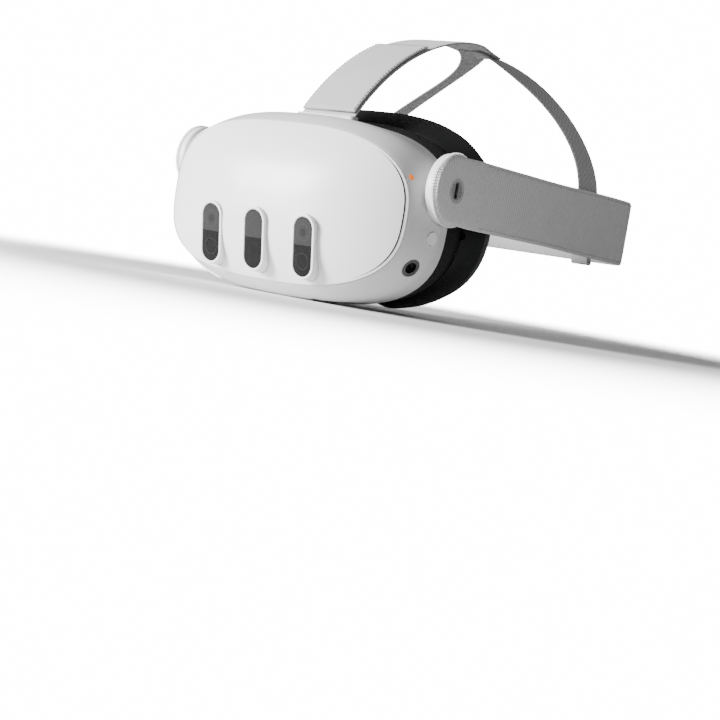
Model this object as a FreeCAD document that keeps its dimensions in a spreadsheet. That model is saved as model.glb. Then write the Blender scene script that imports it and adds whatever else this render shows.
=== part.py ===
import FreeCAD, Part
import math
import os
import Sketcher
from FreeCAD import Placement, Rotation, Vector

# Virtual-reality headset. The wearer looks along -Y and the strap loop runs back along +Y.
# Every piece is drawn about the strap pivot, the axis through both arm discs, and then moved
# by pivot_back and pivot_high, which put the origin under the middle of the whole headset.

SIZES = {
    # where the strap pivot lies
    "pivot_back": -85.05, "pivot_high": 68.5,
    # visor skin: half width, half height and outline exponent of its widest ring
    "visor_half_width": 87.0, "visor_half_height": 49.3, "visor_exponent": 2.77,
    "visor_centre_z": -19.2, "ring_y": -15.8, "ring_wrap": 15.6, "housing_rear_y": 8.0,
    "seam_half_width": 82.2, "seam_half_height": 42.5, "seam_y": -31.8, "seam_wrap": 7.6,
    "dome_front_y": -45.4, "dome_power": 2.4, "wall": 2.0, "seam_gap": 0.5,
    # sensor pills
    "pill_spacing": 32.6, "pill_z": -41.35, "pill_glass_width": 12.4, "pill_glass_height": 30.8,
    "pill_rim": 1.5, "pill_glass_y": -44.9, "pill_sag": 2.0, "pill_depth": 12.0, "pill_lean": 11.3,
    "glass_sunk": 0.3, "glass_thickness": 1.4, "camera_behind_glass": 2.0, "camera_spacing": 14.8,
    # optics
    "lens_half_spacing": 32.0, "lens_centre_z": -19.2, "barrel_radius": 22.0, "barrel_front_y": -16.0,
    "barrel_rear_y": 9.0, "barrel_wall": 1.6, "lens_thickness": 7.0, "panel_size": 30.0,
    "rail_radius": 1.5, "rail_height": 27.0, "rail_clearance": 0.05,
    "wheel_teeth_from_middle": 16, "wheel_y": -10.0, "wheel_z": -58.2, "wheel_radius": 9.6,
    "wheel_width": 6.0, "gear_teeth": 12, "tooth_pitch": 1.9, "tooth_height": 1.2, "gear_y": -6.0,
    "gear_width": 3.0, "shaft_radius": 1.2,
    # electronics
    "board_y": -25.0, "board_thickness": 1.2, "fan_radius": 13.0, "fan_centre_z": 8.0,
    # rear shell and facial interface
    "rear_shell_end_y": 26.0, "face_half_width": 86.2, "face_half_height": 55.5, "face_centre_z": -13.0,
    "face_exponent": 2.6, "face_frame_start_y": 27.0, "face_frame_end_y": 44.0, "cushion_end_y": 60.0,
    "nose_half_width": 19.0, "nose_height": 34.0,
    # strap arms
    "disc_x": 86.3, "disc_radius": 18.4,
    "strap_half_width": 18.4, "strap_thickness": 2.4, "strap_inner_x": 90.4, "arm_inner_x": 87.4,
    "pin_radius": 7.0, "pin_flange_x": 75.0, "pin_bore": 5.4, "hinge_clearance": 0.05,
    "jack_radius": 1.75, "jack_depth": 12.0, "port_radius": 4.8,
    "port_face_x": 92.4, "port_ring_radius": 6.4,
    # strap loop behind the head
    "corner_radius": 34.0, "loop_rear_y": 211.0, "side_end_y": 177.0, "slider_x": 51.0,
    "slider_width": 12.0, "rear_half_width": 19.6,
    # crown straps
    "crown_half_width": 19.0, "crown_thickness": 1.8, "crown_centre_y": 122.0, "crown_centre_z": -54.0,
    "crown_radius": 150.5, "crown_front_y": 0.5, "crown_gap_start_y": 60.0, "crown_gap_end_y": 84.0,
    "crown_end_y": 139.0, "fold_end_y": 56.0, "fork_width": 15.0, "fork_top_x": 12.0, "fork_top_y": 131.0,
    "fork_top_z": 91.4, "fork_foot_x": 91.4, "fork_foot_y": 141.0, "fork_foot_z": 18.8,
    "fork_radius": 112.0, "fork_thickness": 1.6,
}

doc = FreeCAD.newDocument("headset")
sheet = doc.addObject("Spreadsheet::Sheet", "sizes")
for row, (alias, value) in enumerate(SIZES.items(), start=1):
    sheet.set("A%d" % row, alias)
    sheet.set("B%d" % row, str(value))
    sheet.setAlias("B%d" % row, alias)
doc.recompute()

nodes = []


def size(alias):
    """A driving dimension, read back from the sheet."""
    return float(sheet.get(alias))


def keep(obj, label):
    """Name an object as one piece of the headset."""
    obj.Label = label
    nodes.append(obj)
    return obj


def place(obj, x="0", y="0", z="0", turn=None):
    """Put a piece at a point given from the strap pivot, as sheet expressions."""
    obj.Placement = Placement(Vector(0, 0, 0), turn or Rotation())
    obj.setExpression(".Placement.Base.x", x)
    obj.setExpression(".Placement.Base.y", "sizes.pivot_back + (%s)" % y)
    obj.setExpression(".Placement.Base.z", "sizes.pivot_high + (%s)" % z)
    return obj


FACING_FRONT = Rotation(Vector(1, 0, 0), 90)      # a profile drawn in XY is seen from the front
ALONG_X = Rotation(Vector(0, 1, 0), 90)           # a cylinder's axis turned to +X
ALONG_Y = Rotation(Vector(1, 0, 0), -90)          # a cylinder's axis turned to +Y


# ---------------------------------------------------------------- freeform pieces

OUTLINE_POINTS = 48


def outline(half_width, half_height, exponent, y_of, centre_z):
    """A closed super-ellipse wire whose depth y is a function of x."""
    points = []
    for step in range(OUTLINE_POINTS):
        angle = 2 * math.pi * step / OUTLINE_POINTS
        cosine, sine = math.cos(angle), math.sin(angle)
        x = half_width * math.copysign(abs(cosine) ** (2 / exponent), cosine)
        z = half_height * math.copysign(abs(sine) ** (2 / exponent), sine)
        points.append(Vector(x, y_of(x), centre_z + z))
    curve = Part.BSplineCurve()
    curve.interpolate(points, PeriodicFlag=True)
    return Part.Wire(curve.toShape())


def skin_faces(wires):
    """Faces ruled from each outline to the next."""
    return [Part.makeRuledSurface(start.Edges[0], end.Edges[0]) for start, end in zip(wires, wires[1:])]


def sewn_solid(faces):
    """One closed solid from faces that meet edge to edge."""
    shell = Part.makeShell(faces)
    shell.sewShape()
    solid = Part.makeSolid(shell)
    if solid.Volume < 0:
        solid.reverse()
    return solid


def bowl(wires):
    """A solid through a row of outlines, its first and last outlines filled."""
    ends = [Part.makeFilledFace(wire.Edges) for wire in (wires[0], wires[-1])]
    return sewn_solid(skin_faces(wires) + ends)


def ring(wires):
    """A solid ring: the row of outlines comes back to where it starts."""
    return sewn_solid(skin_faces(wires + wires[:1]))


def feature(label, shape):
    """A piece whose shape is set in code, then moved with the pivot."""
    if len(shape.Solids) == 1:
        shape = shape.Solids[0]
    obj = doc.addObject("Part::Feature", label)
    obj.Shape = shape
    place(obj)
    return keep(obj, label)


def seam_depth(x):
    """Depth of the seam between the faceplate and the housing."""
    return size("seam_y") + size("seam_wrap") * (abs(x) / size("seam_half_width")) ** 3.8


def ring_depth(x):
    """Depth of the visor's widest ring."""
    return size("ring_y") + size("ring_wrap") * (abs(x) / size("visor_half_width")) ** 2


def dome_wire(fraction, inset):
    """An outline of the domed front at a fraction of the way out to the seam."""
    half_width = (size("seam_half_width") - inset) * fraction
    half_height = (size("seam_half_height") - inset) * fraction
    rise = size("seam_y") - size("dome_front_y")
    base = size("dome_front_y") + inset + (rise - inset) * fraction ** size("dome_power")

    def depth(x):
        return base + size("seam_wrap") * (abs(x) / size("seam_half_width")) ** 3.8

    return outline(half_width, half_height, 2.73, depth, size("visor_centre_z"))


def side_wire(travel, inset, gap=0.0):
    """An outline of the housing: travel 0 at the seam, 1 at the widest ring, 2 at the rear edge."""
    swell = math.sin(min(travel, 1.0) * math.pi / 2)
    half_width = size("seam_half_width") + swell * (size("visor_half_width") - size("seam_half_width"))
    half_height = size("seam_half_height") + swell * (size("visor_half_height") - size("seam_half_height"))
    half_width -= 1.5 * max(travel - 1.0, 0.0)

    def depth(x):
        if travel <= 1.0:
            return (seam_depth(x) + gap) * (1 - travel) + ring_depth(x) * travel
        return ring_depth(x) * (2 - travel) + size("housing_rear_y") * (travel - 1)

    return outline(half_width - inset, half_height - inset, size("visor_exponent"), depth,
                   size("visor_centre_z"))


DOME_STEPS = (0.15, 0.35, 0.55, 0.7, 0.82, 0.91, 0.97, 1.0)
SIDE_STEPS = (0.0, 0.15, 0.35, 0.6, 0.8, 1.0, 1.5, 2.0)


def visor_solid(inset):
    """The whole visor skin, moved inwards by inset, as one closed solid."""
    wires = [dome_wire(step, inset) for step in DOME_STEPS[:-1]]
    wires += [side_wire(step, inset) for step in SIDE_STEPS]
    return bowl(wires)


def stadium(width, height, depth, x, y, z):
    """A prism with round ends, upright, running back along +Y from y."""
    radius = width / 2
    half = height / 2 - radius
    low = Part.makeCylinder(radius, depth, Vector(x, y, z - half), Vector(0, 1, 0))
    high = Part.makeCylinder(radius, depth, Vector(x, y, z + half), Vector(0, 1, 0))
    middle = Part.makeBox(width, depth, 2 * half, Vector(x - radius, y, z - half))
    return low.fuse([high, middle]).removeSplitter()


def pill_places():
    """Name, x and front depth of each sensor pill; wearer's left is +X."""
    spacing, glass, sag = size("pill_spacing"), size("pill_glass_y"), size("pill_sag")
    return (("left", spacing, glass + sag), ("centre", 0.0, glass), ("right", -spacing, glass + sag))


def lean(shape, x, y):
    """A pill part tipped about its window's middle, so that its top comes forward with the dome."""
    middle = Vector(x, y, size("pill_z"))
    tip = Placement(Vector(0, 0, 0), Rotation(Vector(1, 0, 0), size("pill_lean")), middle)
    return shape.transformed(tip.toMatrix(), True)


def build_visor_skin():
    """Faceplate and front housing, which meet along the seam."""
    outer = [dome_wire(step, 0.0) for step in DOME_STEPS]
    inner = [dome_wire(step, size("wall")) for step in reversed(DOME_STEPS)]
    faceplate = bowl(outer + inner)
    clearance = 0.3
    width = size("pill_glass_width") + 2 * size("pill_rim") + clearance
    height = size("pill_glass_height") + 2 * size("pill_rim") + clearance
    for _, x, y in pill_places():
        faceplate = faceplate.cut(lean(stadium(width, height, 20, x, y - 5, size("pill_z")), x, y))
    feature("faceplate", faceplate)

    outer = [side_wire(step, 0.0, size("seam_gap")) for step in SIDE_STEPS]
    inner = [side_wire(step, size("wall"), size("seam_gap")) for step in reversed(SIDE_STEPS)]
    housing = ring(outer + inner)
    power = Part.makeCylinder(3.7, 12, Vector(78, -6, -26.5), Vector(1, 0, 0))
    status = Part.makeCylinder(1.3, 12, Vector(74, -22, 2.5), Vector(1, 0, 0))
    holes = [power, status, rocker_prism(0.3), wheel_slot()]
    for side in (-1, 1):
        across = Vector(side, 0, 0)
        holes.append(side_camera_bore(side, 5.2))
        holes.append(Part.makeCylinder(size("pin_radius") + size("hinge_clearance"), 16,
                                       Vector(side * 76, 0, 0), across))
        holes.append(Part.makeCylinder(size("disc_radius") + 0.8, 8,
                                       Vector(side * (size("disc_x") - 0.3), 0, 0), across))
    for hole in holes:
        housing = housing.cut(hole)
    feature("front_housing", housing)


def wheel_x():
    """The thumb wheel stands a whole number of teeth from the middle, so both gears mesh."""
    return size("wheel_teeth_from_middle") * size("tooth_pitch")


def wheel_slot():
    """The slot in the underside that the thumb wheel's rim shows through."""
    length, width = 20.0, size("wheel_width") + 1.6
    return Part.makeBox(length, width, 14, Vector(wheel_x() - length / 2, size("wheel_y") - width / 2, -76))


def side_camera_bore(side, radius):
    """The bore of a downward-looking side camera."""
    return Part.makeCylinder(radius, 26, Vector(side * 70, -8, -36), Vector(side * 0.80, -0.30, -0.52))


def rocker_prism(clearance):
    """An upright prism with round ends where the volume rocker lies, on the wearer's right."""
    length, width = 26 + 2 * clearance, 6 + 2 * clearance
    half = (length - width) / 2
    block = Part.makeBox(2 * half, width, 24, Vector(-56 - half, -14 - width / 2, -74))
    ends = [Part.makeCylinder(width / 2, 24, Vector(-56 + end * half, -14, -74)) for end in (-1, 1)]
    return block.fuse(ends).removeSplitter()


def build_pills():
    """Three pills: white bezels, dark windows and what looks out through them."""
    width, height = size("pill_glass_width"), size("pill_glass_height")
    rim, depth, z = size("pill_rim"), size("pill_depth"), size("pill_z")
    bezels, windows, cameras = [], [], []
    for name, x, y in pill_places():
        outer = stadium(width + 2 * rim, height + 2 * rim, depth, x, y, z)
        bezel = outer.cut(stadium(width, height, depth + 2, x, y - 1, z))
        bezels.append(lean(bezel, x, y))
        glass = stadium(width - 0.1, height - 0.1, size("glass_thickness"), x, y + size("glass_sunk"), z)
        windows.append(lean(glass, x, y))
        back = y + size("camera_behind_glass")
        if name == "centre":
            projector = Part.makeBox(8, 8, 20, Vector(x - 4, back, z - 10))
            feature("depth_projector", lean(projector, x, y))
            continue
        for side, radius in ((1, 3.6), (-1, 4.4)):
            height_here = z + side * size("camera_spacing") / 2
            tube = Part.makeCylinder(radius, 3, Vector(x, back, height_here), Vector(0, 1, 0))
            block = Part.makeBox(9.4, 5, 9.4, Vector(x - 4.7, back + 3, height_here - 4.7))
            cameras.append(lean(tube.fuse(block).removeSplitter(), x, y))
    feature("pill_bezels", Part.makeCompound(bezels))
    feature("pill_windows", Part.makeCompound(windows))
    feature("tracking_cameras", Part.makeCompound(cameras))


def build_side_sensors():
    """Two downward side cameras, the status light, the power button and the volume rocker."""
    inside = visor_solid(0.3)
    for name, side in (("left", 1), ("right", -1)):
        direction = Vector(side * 0.80, -0.30, -0.52).normalize()
        camera = side_camera_bore(side, 5.1).common(inside)
        bore = Part.makeCylinder(3.2, 30, Vector(side * 70, -8, -36) + direction * 9.0, direction)
        feature("side_camera_" + name, camera.cut(bore))
    proud = visor_solid(-0.7)
    light = Part.makeCylinder(1.2, 12, Vector(76, -22, 2.5), Vector(1, 0, 0))
    feature("status_light", light.common(visor_solid(-0.2)))
    button = Part.makeCylinder(3.5, 14, Vector(81, -6, -26.5), Vector(1, 0, 0))
    feature("power_button", button.common(proud))
    rocker = rocker_prism(0.0).common(proud).cut(visor_solid(2.8))
    pivot = Part.makeCylinder(1.2, 5, Vector(-56, -16.5, -59.6), Vector(0, 1, 0))
    feature("volume_rocker", rocker.fuse(pivot).removeSplitter())


# ---------------------------------------------------------------- drawn pieces

def box(label, length, width, height, x, y, z):
    """A block centred on a point; its sizes and place are sheet expressions."""
    obj = doc.addObject("Part::Box", label)
    obj.setExpression("Length", length)
    obj.setExpression("Width", width)
    obj.setExpression("Height", height)
    return place(obj, "(%s) - (%s)/2" % (x, length), "(%s) - (%s)/2" % (y, width),
                 "(%s) - (%s)/2" % (z, height))


def rod(label, radius, length, x, y, z, turn):
    """A cylinder from a point along +X or +Y."""
    obj = doc.addObject("Part::Cylinder", label)
    obj.setExpression("Radius", radius)
    obj.setExpression("Height", length)
    return place(obj, x, y, z, turn)


def cut(label, base, *tools):
    """A base with each tool taken out of it in turn."""
    result = base
    for number, tool in enumerate(tools, start=1):
        name = label if number == len(tools) else "%s_cut_%d" % (label, number)
        obj = doc.addObject("Part::Cut", name)
        obj.Base = result
        obj.Tool = tool
        result = obj
    return result


def fuse(label, *shapes):
    """Several shapes joined into one piece."""
    obj = doc.addObject("Part::MultiFuse", label)
    obj.Shapes = list(shapes)
    obj.Refine = True
    return obj


def group(label, *shapes):
    """Identical small pieces kept as separate solids in one node."""
    obj = doc.addObject("Part::Compound", label)
    obj.Links = list(shapes)
    return obj


def new_body(label):
    return doc.addObject("PartDesign::Body", label)


def new_sketch(body, label, role="XY_Plane"):
    """A sketch on one of the body's own origin planes."""
    plane = next(item for item in body.Origin.OriginFeatures if item.Role == role)
    sketch = body.newObject("Sketcher::SketchObject", label)
    sketch.AttachmentSupport = [(plane, "")]
    sketch.MapMode = "FlatFace"
    return sketch


def draw_circle(sketch, radius, x=0.0, y=0.0):
    """A circle whose radius is a sheet expression."""
    index = sketch.addGeometry(Part.Circle(Vector(x, y, 0), Vector(0, 0, 1), 5), False)
    if x == 0 and y == 0:
        sketch.addConstraint(Sketcher.Constraint("Coincident", index, 3, -1, 1))
    else:
        sketch.addConstraint(Sketcher.Constraint("DistanceX", -1, 1, index, 3, x))
        if y:
            sketch.addConstraint(Sketcher.Constraint("DistanceY", -1, 1, index, 3, y))
        else:
            sketch.addConstraint(Sketcher.Constraint("PointOnObject", index, 3, -1))
    number = sketch.addConstraint(Sketcher.Constraint("Radius", index, 5))
    sketch.setExpression("Constraints[%d]" % number, radius)


def pad(body, sketch, length, midplane=False):
    """Pad a sketch by a sheet expression."""
    result = body.newObject("PartDesign::Pad", body.Name + "_pad")
    result.Profile = sketch
    result.setExpression("Length", length)
    result.Midplane = midplane
    sketch.Visibility = False
    return result


def revolve(label, points):
    """A turned body: closed profile points (radius, height) about the sketch's upright axis."""
    body = new_body(label)
    sketch = new_sketch(body, label + "_profile", "XZ_Plane")
    for start, end in zip(points, points[1:] + points[:1]):
        sketch.addGeometry(Part.LineSegment(Vector(*start, 0), Vector(*end, 0)), False)
    for index in range(len(points)):
        sketch.addConstraint(Sketcher.Constraint("Coincident", index, 2, (index + 1) % len(points), 1))
    result = body.newObject("PartDesign::Revolution", label + "_turn")
    result.Profile = sketch
    result.ReferenceAxis = (sketch, ["V_Axis"])
    result.Angle = 360
    return body


def rounded_plate(label, length, width, thickness, corner, holes=()):
    """A PartDesign plate drawn in XY: a rectangle with rounded corners and round holes.

    length, width, thickness and corner are sheet expressions or numbers written as text;
    holes is a list of (radius expression, x, y).
    """
    body = new_body(label)
    sketch = new_sketch(body, label + "_outline")
    corners = [Vector(-10, -5, 0), Vector(10, -5, 0), Vector(10, 5, 0), Vector(-10, 5, 0)]
    for start, end in zip(corners, corners[1:] + corners[:1]):
        sketch.addGeometry(Part.LineSegment(start, end), False)
    for index in range(4):
        sketch.addConstraint(Sketcher.Constraint("Coincident", index, 2, (index + 1) % 4, 1))
    for index, kind in ((0, "Horizontal"), (1, "Vertical"), (2, "Horizontal"), (3, "Vertical")):
        sketch.addConstraint(Sketcher.Constraint(kind, index))
    sketch.addConstraint(Sketcher.Constraint("Symmetric", 0, 1, 2, 1, -1, 1))
    across = sketch.addConstraint(Sketcher.Constraint("DistanceX", 0, 1, 0, 2, 20))
    sketch.setExpression("Constraints[%d]" % across, length)
    upward = sketch.addConstraint(Sketcher.Constraint("DistanceY", 1, 1, 1, 2, 10))
    sketch.setExpression("Constraints[%d]" % upward, width)
    for radius, x, y in holes:
        draw_circle(sketch, radius, x, y)
    plate = pad(body, sketch, thickness)
    doc.recompute()
    upright = ["Edge%d" % (number + 1) for number, edge in enumerate(plate.Shape.Edges)
               if isinstance(edge.Curve, Part.Line) and edge.Vertexes[0].Point.distanceToPoint(
                   edge.Vertexes[1].Point) > 0 and abs(edge.tangentAt(edge.FirstParameter).z) > 0.99]
    fillet = body.newObject("PartDesign::Fillet", label + "_corners")
    fillet.Base = (plate, upright)
    fillet.setExpression("Radius", corner)
    body.Tip = fillet
    return body


def disc(label, radius, length, bores=()):
    """A PartDesign disc along its own Z, with round holes given as (radius expression, x, y)."""
    body = new_body(label)
    sketch = new_sketch(body, label + "_outline")
    draw_circle(sketch, radius)
    for bore, x, y in bores:
        draw_circle(sketch, bore, x, y)
    pad(body, sketch, length)
    return body


def build_electronics():
    """Board, heat spreader, battery, fan and microphones, in front of the mid frame."""
    centre = "sizes.visor_centre_z"
    plate = rounded_plate("main_board", "124", "56", "sizes.board_thickness", "9")
    keep(place(plate, "0", "sizes.board_y", centre, FACING_FRONT), "main_board")
    spreader = rounded_plate("heat_spreader", "92", "40", "1.5", "6")
    keep(place(spreader, "0", "sizes.board_y - 4", "sizes.visor_centre_z - 2", FACING_FRONT), "heat_spreader")
    battery = rounded_plate("battery_pack", "52", "15", "7.5", "3")
    keep(place(battery, "0", "-17.4", "-53", FACING_FRONT), "battery_pack")

    fan = new_body("fan_housing")
    rim = new_sketch(fan, "fan_rim")
    draw_circle(rim, "sizes.fan_radius + 1.5")
    pad(fan, rim, "7.6")
    well = new_sketch(fan, "fan_well")
    draw_circle(well, "sizes.fan_radius")
    pocket = fan.newObject("PartDesign::Pocket", "fan_well_pocket")
    pocket.Profile = well
    pocket.Reversed = True
    pocket.setExpression("Length", "6.4")
    fan.Tip = pocket
    keep(place(fan, "0", "-17.3", "sizes.fan_centre_z", FACING_FRONT), "fan_housing")

    rotor = new_body("fan_rotor")
    hub = new_sketch(rotor, "fan_hub")
    draw_circle(hub, "4.5")
    pad(rotor, hub, "5")
    blade = new_sketch(rotor, "fan_blade")
    outline_points = [Vector(4, -0.4, 0), Vector(11.8, 1.6, 0), Vector(11.8, 2.3, 0), Vector(4, 0.4, 0)]
    for start, end in zip(outline_points, outline_points[1:] + outline_points[:1]):
        blade.addGeometry(Part.LineSegment(start, end), False)
    for index in range(4):
        blade.addConstraint(Sketcher.Constraint("Coincident", index, 2, (index + 1) % 4, 1))
    vane = rotor.newObject("PartDesign::Pad", "fan_vane")
    vane.Profile = blade
    vane.Length = 4.6
    around = rotor.newObject("PartDesign::PolarPattern", "fan_vanes")
    around.Originals = [vane]
    around.Axis = (hub, ["N_Axis"])
    around.Angle = 360
    around.Occurrences = 11
    rotor.Tip = around
    keep(place(rotor, "0", "-18.0", "sizes.fan_centre_z", FACING_FRONT), "fan_rotor")

    microphones = [rod("microphone_%d" % number, "1.6", "1.4", str(x), "-21", "-62.6", ALONG_Y)
                   for number, x in enumerate((-16, 16), start=1)]
    keep(group("microphones", *microphones), "microphones")


def outline_plate(label, half_width, half_height, centre_z, y, thickness, openings):
    """A flat plate with a super-elliptic edge and stadium openings through it."""
    wire = outline(half_width, half_height, size("visor_exponent"), lambda x: y, centre_z)
    plate = Part.Face(wire).extrude(Vector(0, thickness, 0))
    for width, height, x, z in openings:
        hole = stadium(height, width, thickness + 2, 0, 0, 0)
        hole.rotate(Vector(0, 0, 0), Vector(0, 1, 0), 90)
        hole.translate(Vector(x, y - 1, z))
        plate = plate.cut(hole)
    return feature(label, plate)


def build_frames():
    """The mid frame that carries the optics and the black bezel that the wearer sees."""
    spacing, centre = size("lens_half_spacing"), size("lens_centre_z")
    opening = 2 * size("barrel_radius")
    openings = [(opening + 12.4, opening + 1.2, side * spacing, centre) for side in (-1, 1)]
    outline_plate("mid_frame", 71.0, 44.5, size("visor_centre_z"), -15.4, 1.8, openings)
    openings = [(opening + 8.0, opening - 3.0, side * (spacing + 0.4), centre) for side in (-1, 1)]
    outline_plate("lens_bezel", 75.0, 41.0, -18.5, 10.2, 1.6, openings)
    sensor = rounded_plate("proximity_sensor", "9", "4", "1.2", "1.5")
    keep(place(sensor, "0", "13.1", "2", FACING_FRONT), "proximity_sensor")
    heads = []
    for number, (x, z) in enumerate(((-64, -2), (64, -2), (-56, -48), (56, -48)), start=1):
        heads.append(rod("screw_%d" % number, "1.7", "1.1", str(x), "11.9", str(z), ALONG_Y))
    keep(group("bezel_screws", *heads), "bezel_screws")


def gear_face(x, z, y):
    """A gear outline with a gap pointing straight up, so a rack tooth drops into it."""
    teeth = int(size("gear_teeth"))
    pitch_radius = size("tooth_pitch") * teeth / (2 * math.pi)
    root, tip = pitch_radius - size("tooth_height") / 2 - 0.15, pitch_radius + size("tooth_height") / 2
    points = []
    for tooth in range(teeth):
        middle = math.pi / 2 + (tooth + 0.5) * 2 * math.pi / teeth
        for radius, lead in ((root, -0.17), (tip, -0.07), (tip, 0.07), (root, 0.17)):
            angle = middle + lead
            points.append(Vector(x + radius * math.cos(angle), y, z + radius * math.sin(angle)))
    return Part.Face(Part.makePolygon(points + points[:1]))


def rack_bar(start_x, end_x, pitch_line, upward, y):
    """A toothed bar; its teeth point down when upward is 1 and up when it is -1."""
    pitch, half = size("tooth_pitch"), size("tooth_height") / 2
    root = pitch_line + upward * (half + 0.15)
    back = root + upward * 2.4
    points = [Vector(start_x, y, back), Vector(start_x, y, root)]
    first = math.ceil((start_x + 0.6) / pitch)
    last = math.floor((end_x - 0.6) / pitch)
    for number in range(first, last + 1):
        for lead, z in ((-0.48, root), (-0.22, pitch_line - upward * half),
                        (0.22, pitch_line - upward * half), (0.48, root)):
            points.append(Vector(number * pitch + lead, y, z))
    points += [Vector(end_x, y, root), Vector(end_x, y, back)]
    return Part.Face(Part.makePolygon(points + points[:1])).extrude(Vector(0, size("gear_width"), 0))


def build_lens_drive():
    """Thumb wheel, centre pinion, two racks and the bracket that holds the shafts."""
    gear_y, width, z = size("gear_y"), size("gear_width"), size("wheel_z")
    pitch_radius = size("tooth_pitch") * size("gear_teeth") / (2 * math.pi)
    shaft, back_y = size("shaft_radius"), Vector(0, 1, 0)
    x = wheel_x()
    half = size("wheel_width") / 2
    rim = Part.makeCylinder(size("wheel_radius"), 2 * half, Vector(x, size("wheel_y") - half, z), back_y)
    for number in range(24):
        angle = 2 * math.pi * number / 24
        groove = Vector(x + size("wheel_radius") * math.cos(angle), size("wheel_y") - half - 1,
                        z + size("wheel_radius") * math.sin(angle))
        rim = rim.cut(Part.makeCylinder(0.5, 2 * half + 2, groove, back_y))
    axle = Part.makeCylinder(shaft, 7.6, Vector(x, size("wheel_y") + half - 0.5, z), back_y)
    gear = gear_face(x, z, gear_y).extrude(Vector(0, width, 0))
    feature("ipd_wheel", rim.fuse([axle, gear]).removeSplitter())
    pinion = gear_face(0, z, gear_y).extrude(Vector(0, width, 0))
    spindle = Part.makeCylinder(shaft, 6.0, Vector(0, gear_y - 1.0, z), back_y)
    feature("centre_pinion", pinion.fuse(spindle).removeSplitter())
    bracket = Part.makeBox(x + 12, 1.6, 9, Vector(-6, gear_y + width + 0.4, z - 4.5))
    for centre_x in (0, x):
        bore = Part.makeCylinder(shaft + size("hinge_clearance"), 6, Vector(centre_x, gear_y + 2, z), back_y)
        bracket = bracket.cut(bore)
    feature("gear_bracket", bracket)

    lug_low = size("lens_centre_z") - size("rail_height") - 4.0
    upper = rack_bar(-9.0, x + 9.0, z + pitch_radius, 1, gear_y)
    stem = Part.makeBox(8, width, lug_low - (z + pitch_radius + 2.0),
                        Vector(size("lens_half_spacing") - 4, gear_y, z + pitch_radius + 2.0))
    feature("lens_rack_left", upper.fuse(stem).removeSplitter())
    lower = rack_bar(-26.0, 9.0, z - pitch_radius, -1, gear_y)
    stem = Part.makeBox(4, width, lug_low - (z - pitch_radius - 2.5),
                        Vector(-28, gear_y, z - pitch_radius - 2.5))
    foot = Part.makeBox(8, width, 2.0, Vector(-34, gear_y, lug_low - 2.0))
    feature("lens_rack_right", lower.fuse([stem, foot]).removeSplitter())


def build_optics():
    """Two lens barrels on shared rails, each with its lens and its display panel."""
    rails = []
    for name, sign in (("low", "-"), ("high", "+")):
        rails.append(rod("rail_" + name, "sizes.rail_radius", "132", "-66", "-3.5",
                         "sizes.lens_centre_z %s sizes.rail_height" % sign, ALONG_X))
    keep(group("lens_rails", *rails), "lens_rails")
    for name, side, sign in (("left", 1, "+"), ("right", -1, "-")):
        x = "%s sizes.lens_half_spacing" % sign
        length = "sizes.barrel_rear_y - sizes.barrel_front_y"
        tube = rod("barrel_outer_" + name, "sizes.barrel_radius", length, x, "sizes.barrel_front_y",
                   "sizes.lens_centre_z", ALONG_Y)
        lugs = []
        for level, up in (("low", "-"), ("high", "+")):
            lugs.append(box("lug_%s_%s" % (level, name), "12", "6", "12", x, "-3.5",
                            "sizes.lens_centre_z %s (sizes.rail_height - 2)" % up))
        body = fuse("barrel_body_" + name, tube, *lugs)
        hollow = rod("barrel_hollow_" + name, "sizes.barrel_radius - sizes.barrel_wall", "60", x, "-40",
                     "sizes.lens_centre_z", ALONG_Y)
        bores = []
        for level, up in (("low", "-"), ("high", "+")):
            bores.append(rod("rail_bore_%s_%s" % (level, name), "sizes.rail_radius + sizes.rail_clearance",
                             "40", "%s - 20" % x, "-3.5",
                             "sizes.lens_centre_z %s sizes.rail_height" % up, ALONG_X))
        keep(cut("lens_barrel_" + name, body, hollow, *bores), "lens_barrel_" + name)
        radius = size("barrel_radius") - size("barrel_wall")
        profile = [(0, 0), (radius - 4, 0.6), (radius, 2.6), (radius, size("lens_thickness") - 2),
                   (radius - 3, size("lens_thickness") - 1), (0, size("lens_thickness"))]
        lens = revolve("lens_" + name, profile)
        keep(place(lens, x, "sizes.barrel_rear_y - 1 - sizes.lens_thickness", "sizes.lens_centre_z",
                   ALONG_Y), "lens_" + name)
        panel = rounded_plate("display_panel_" + name, "sizes.panel_size", "sizes.panel_size", "1.4", "3")
        keep(place(panel, x, "sizes.barrel_front_y - 0.1", "sizes.lens_centre_z", FACING_FRONT),
             "display_panel_" + name)


def face_wire(y, half_width, half_height, centre_z):
    """A flat outline of the facial interface."""
    return outline(half_width, half_height, size("face_exponent"), lambda x: y, centre_z)


def nose_notch(reach):
    """The rounded notch that leaves room for the nose."""
    width = 2 * size("nose_half_width")
    top = size("face_centre_z") - size("face_half_height") + size("nose_height")
    notch = stadium(width, 90, 80, 0, 12, top - 45)
    return notch.common(Part.makeBox(200, reach, 200, Vector(-100, 12, -150)))


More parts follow.
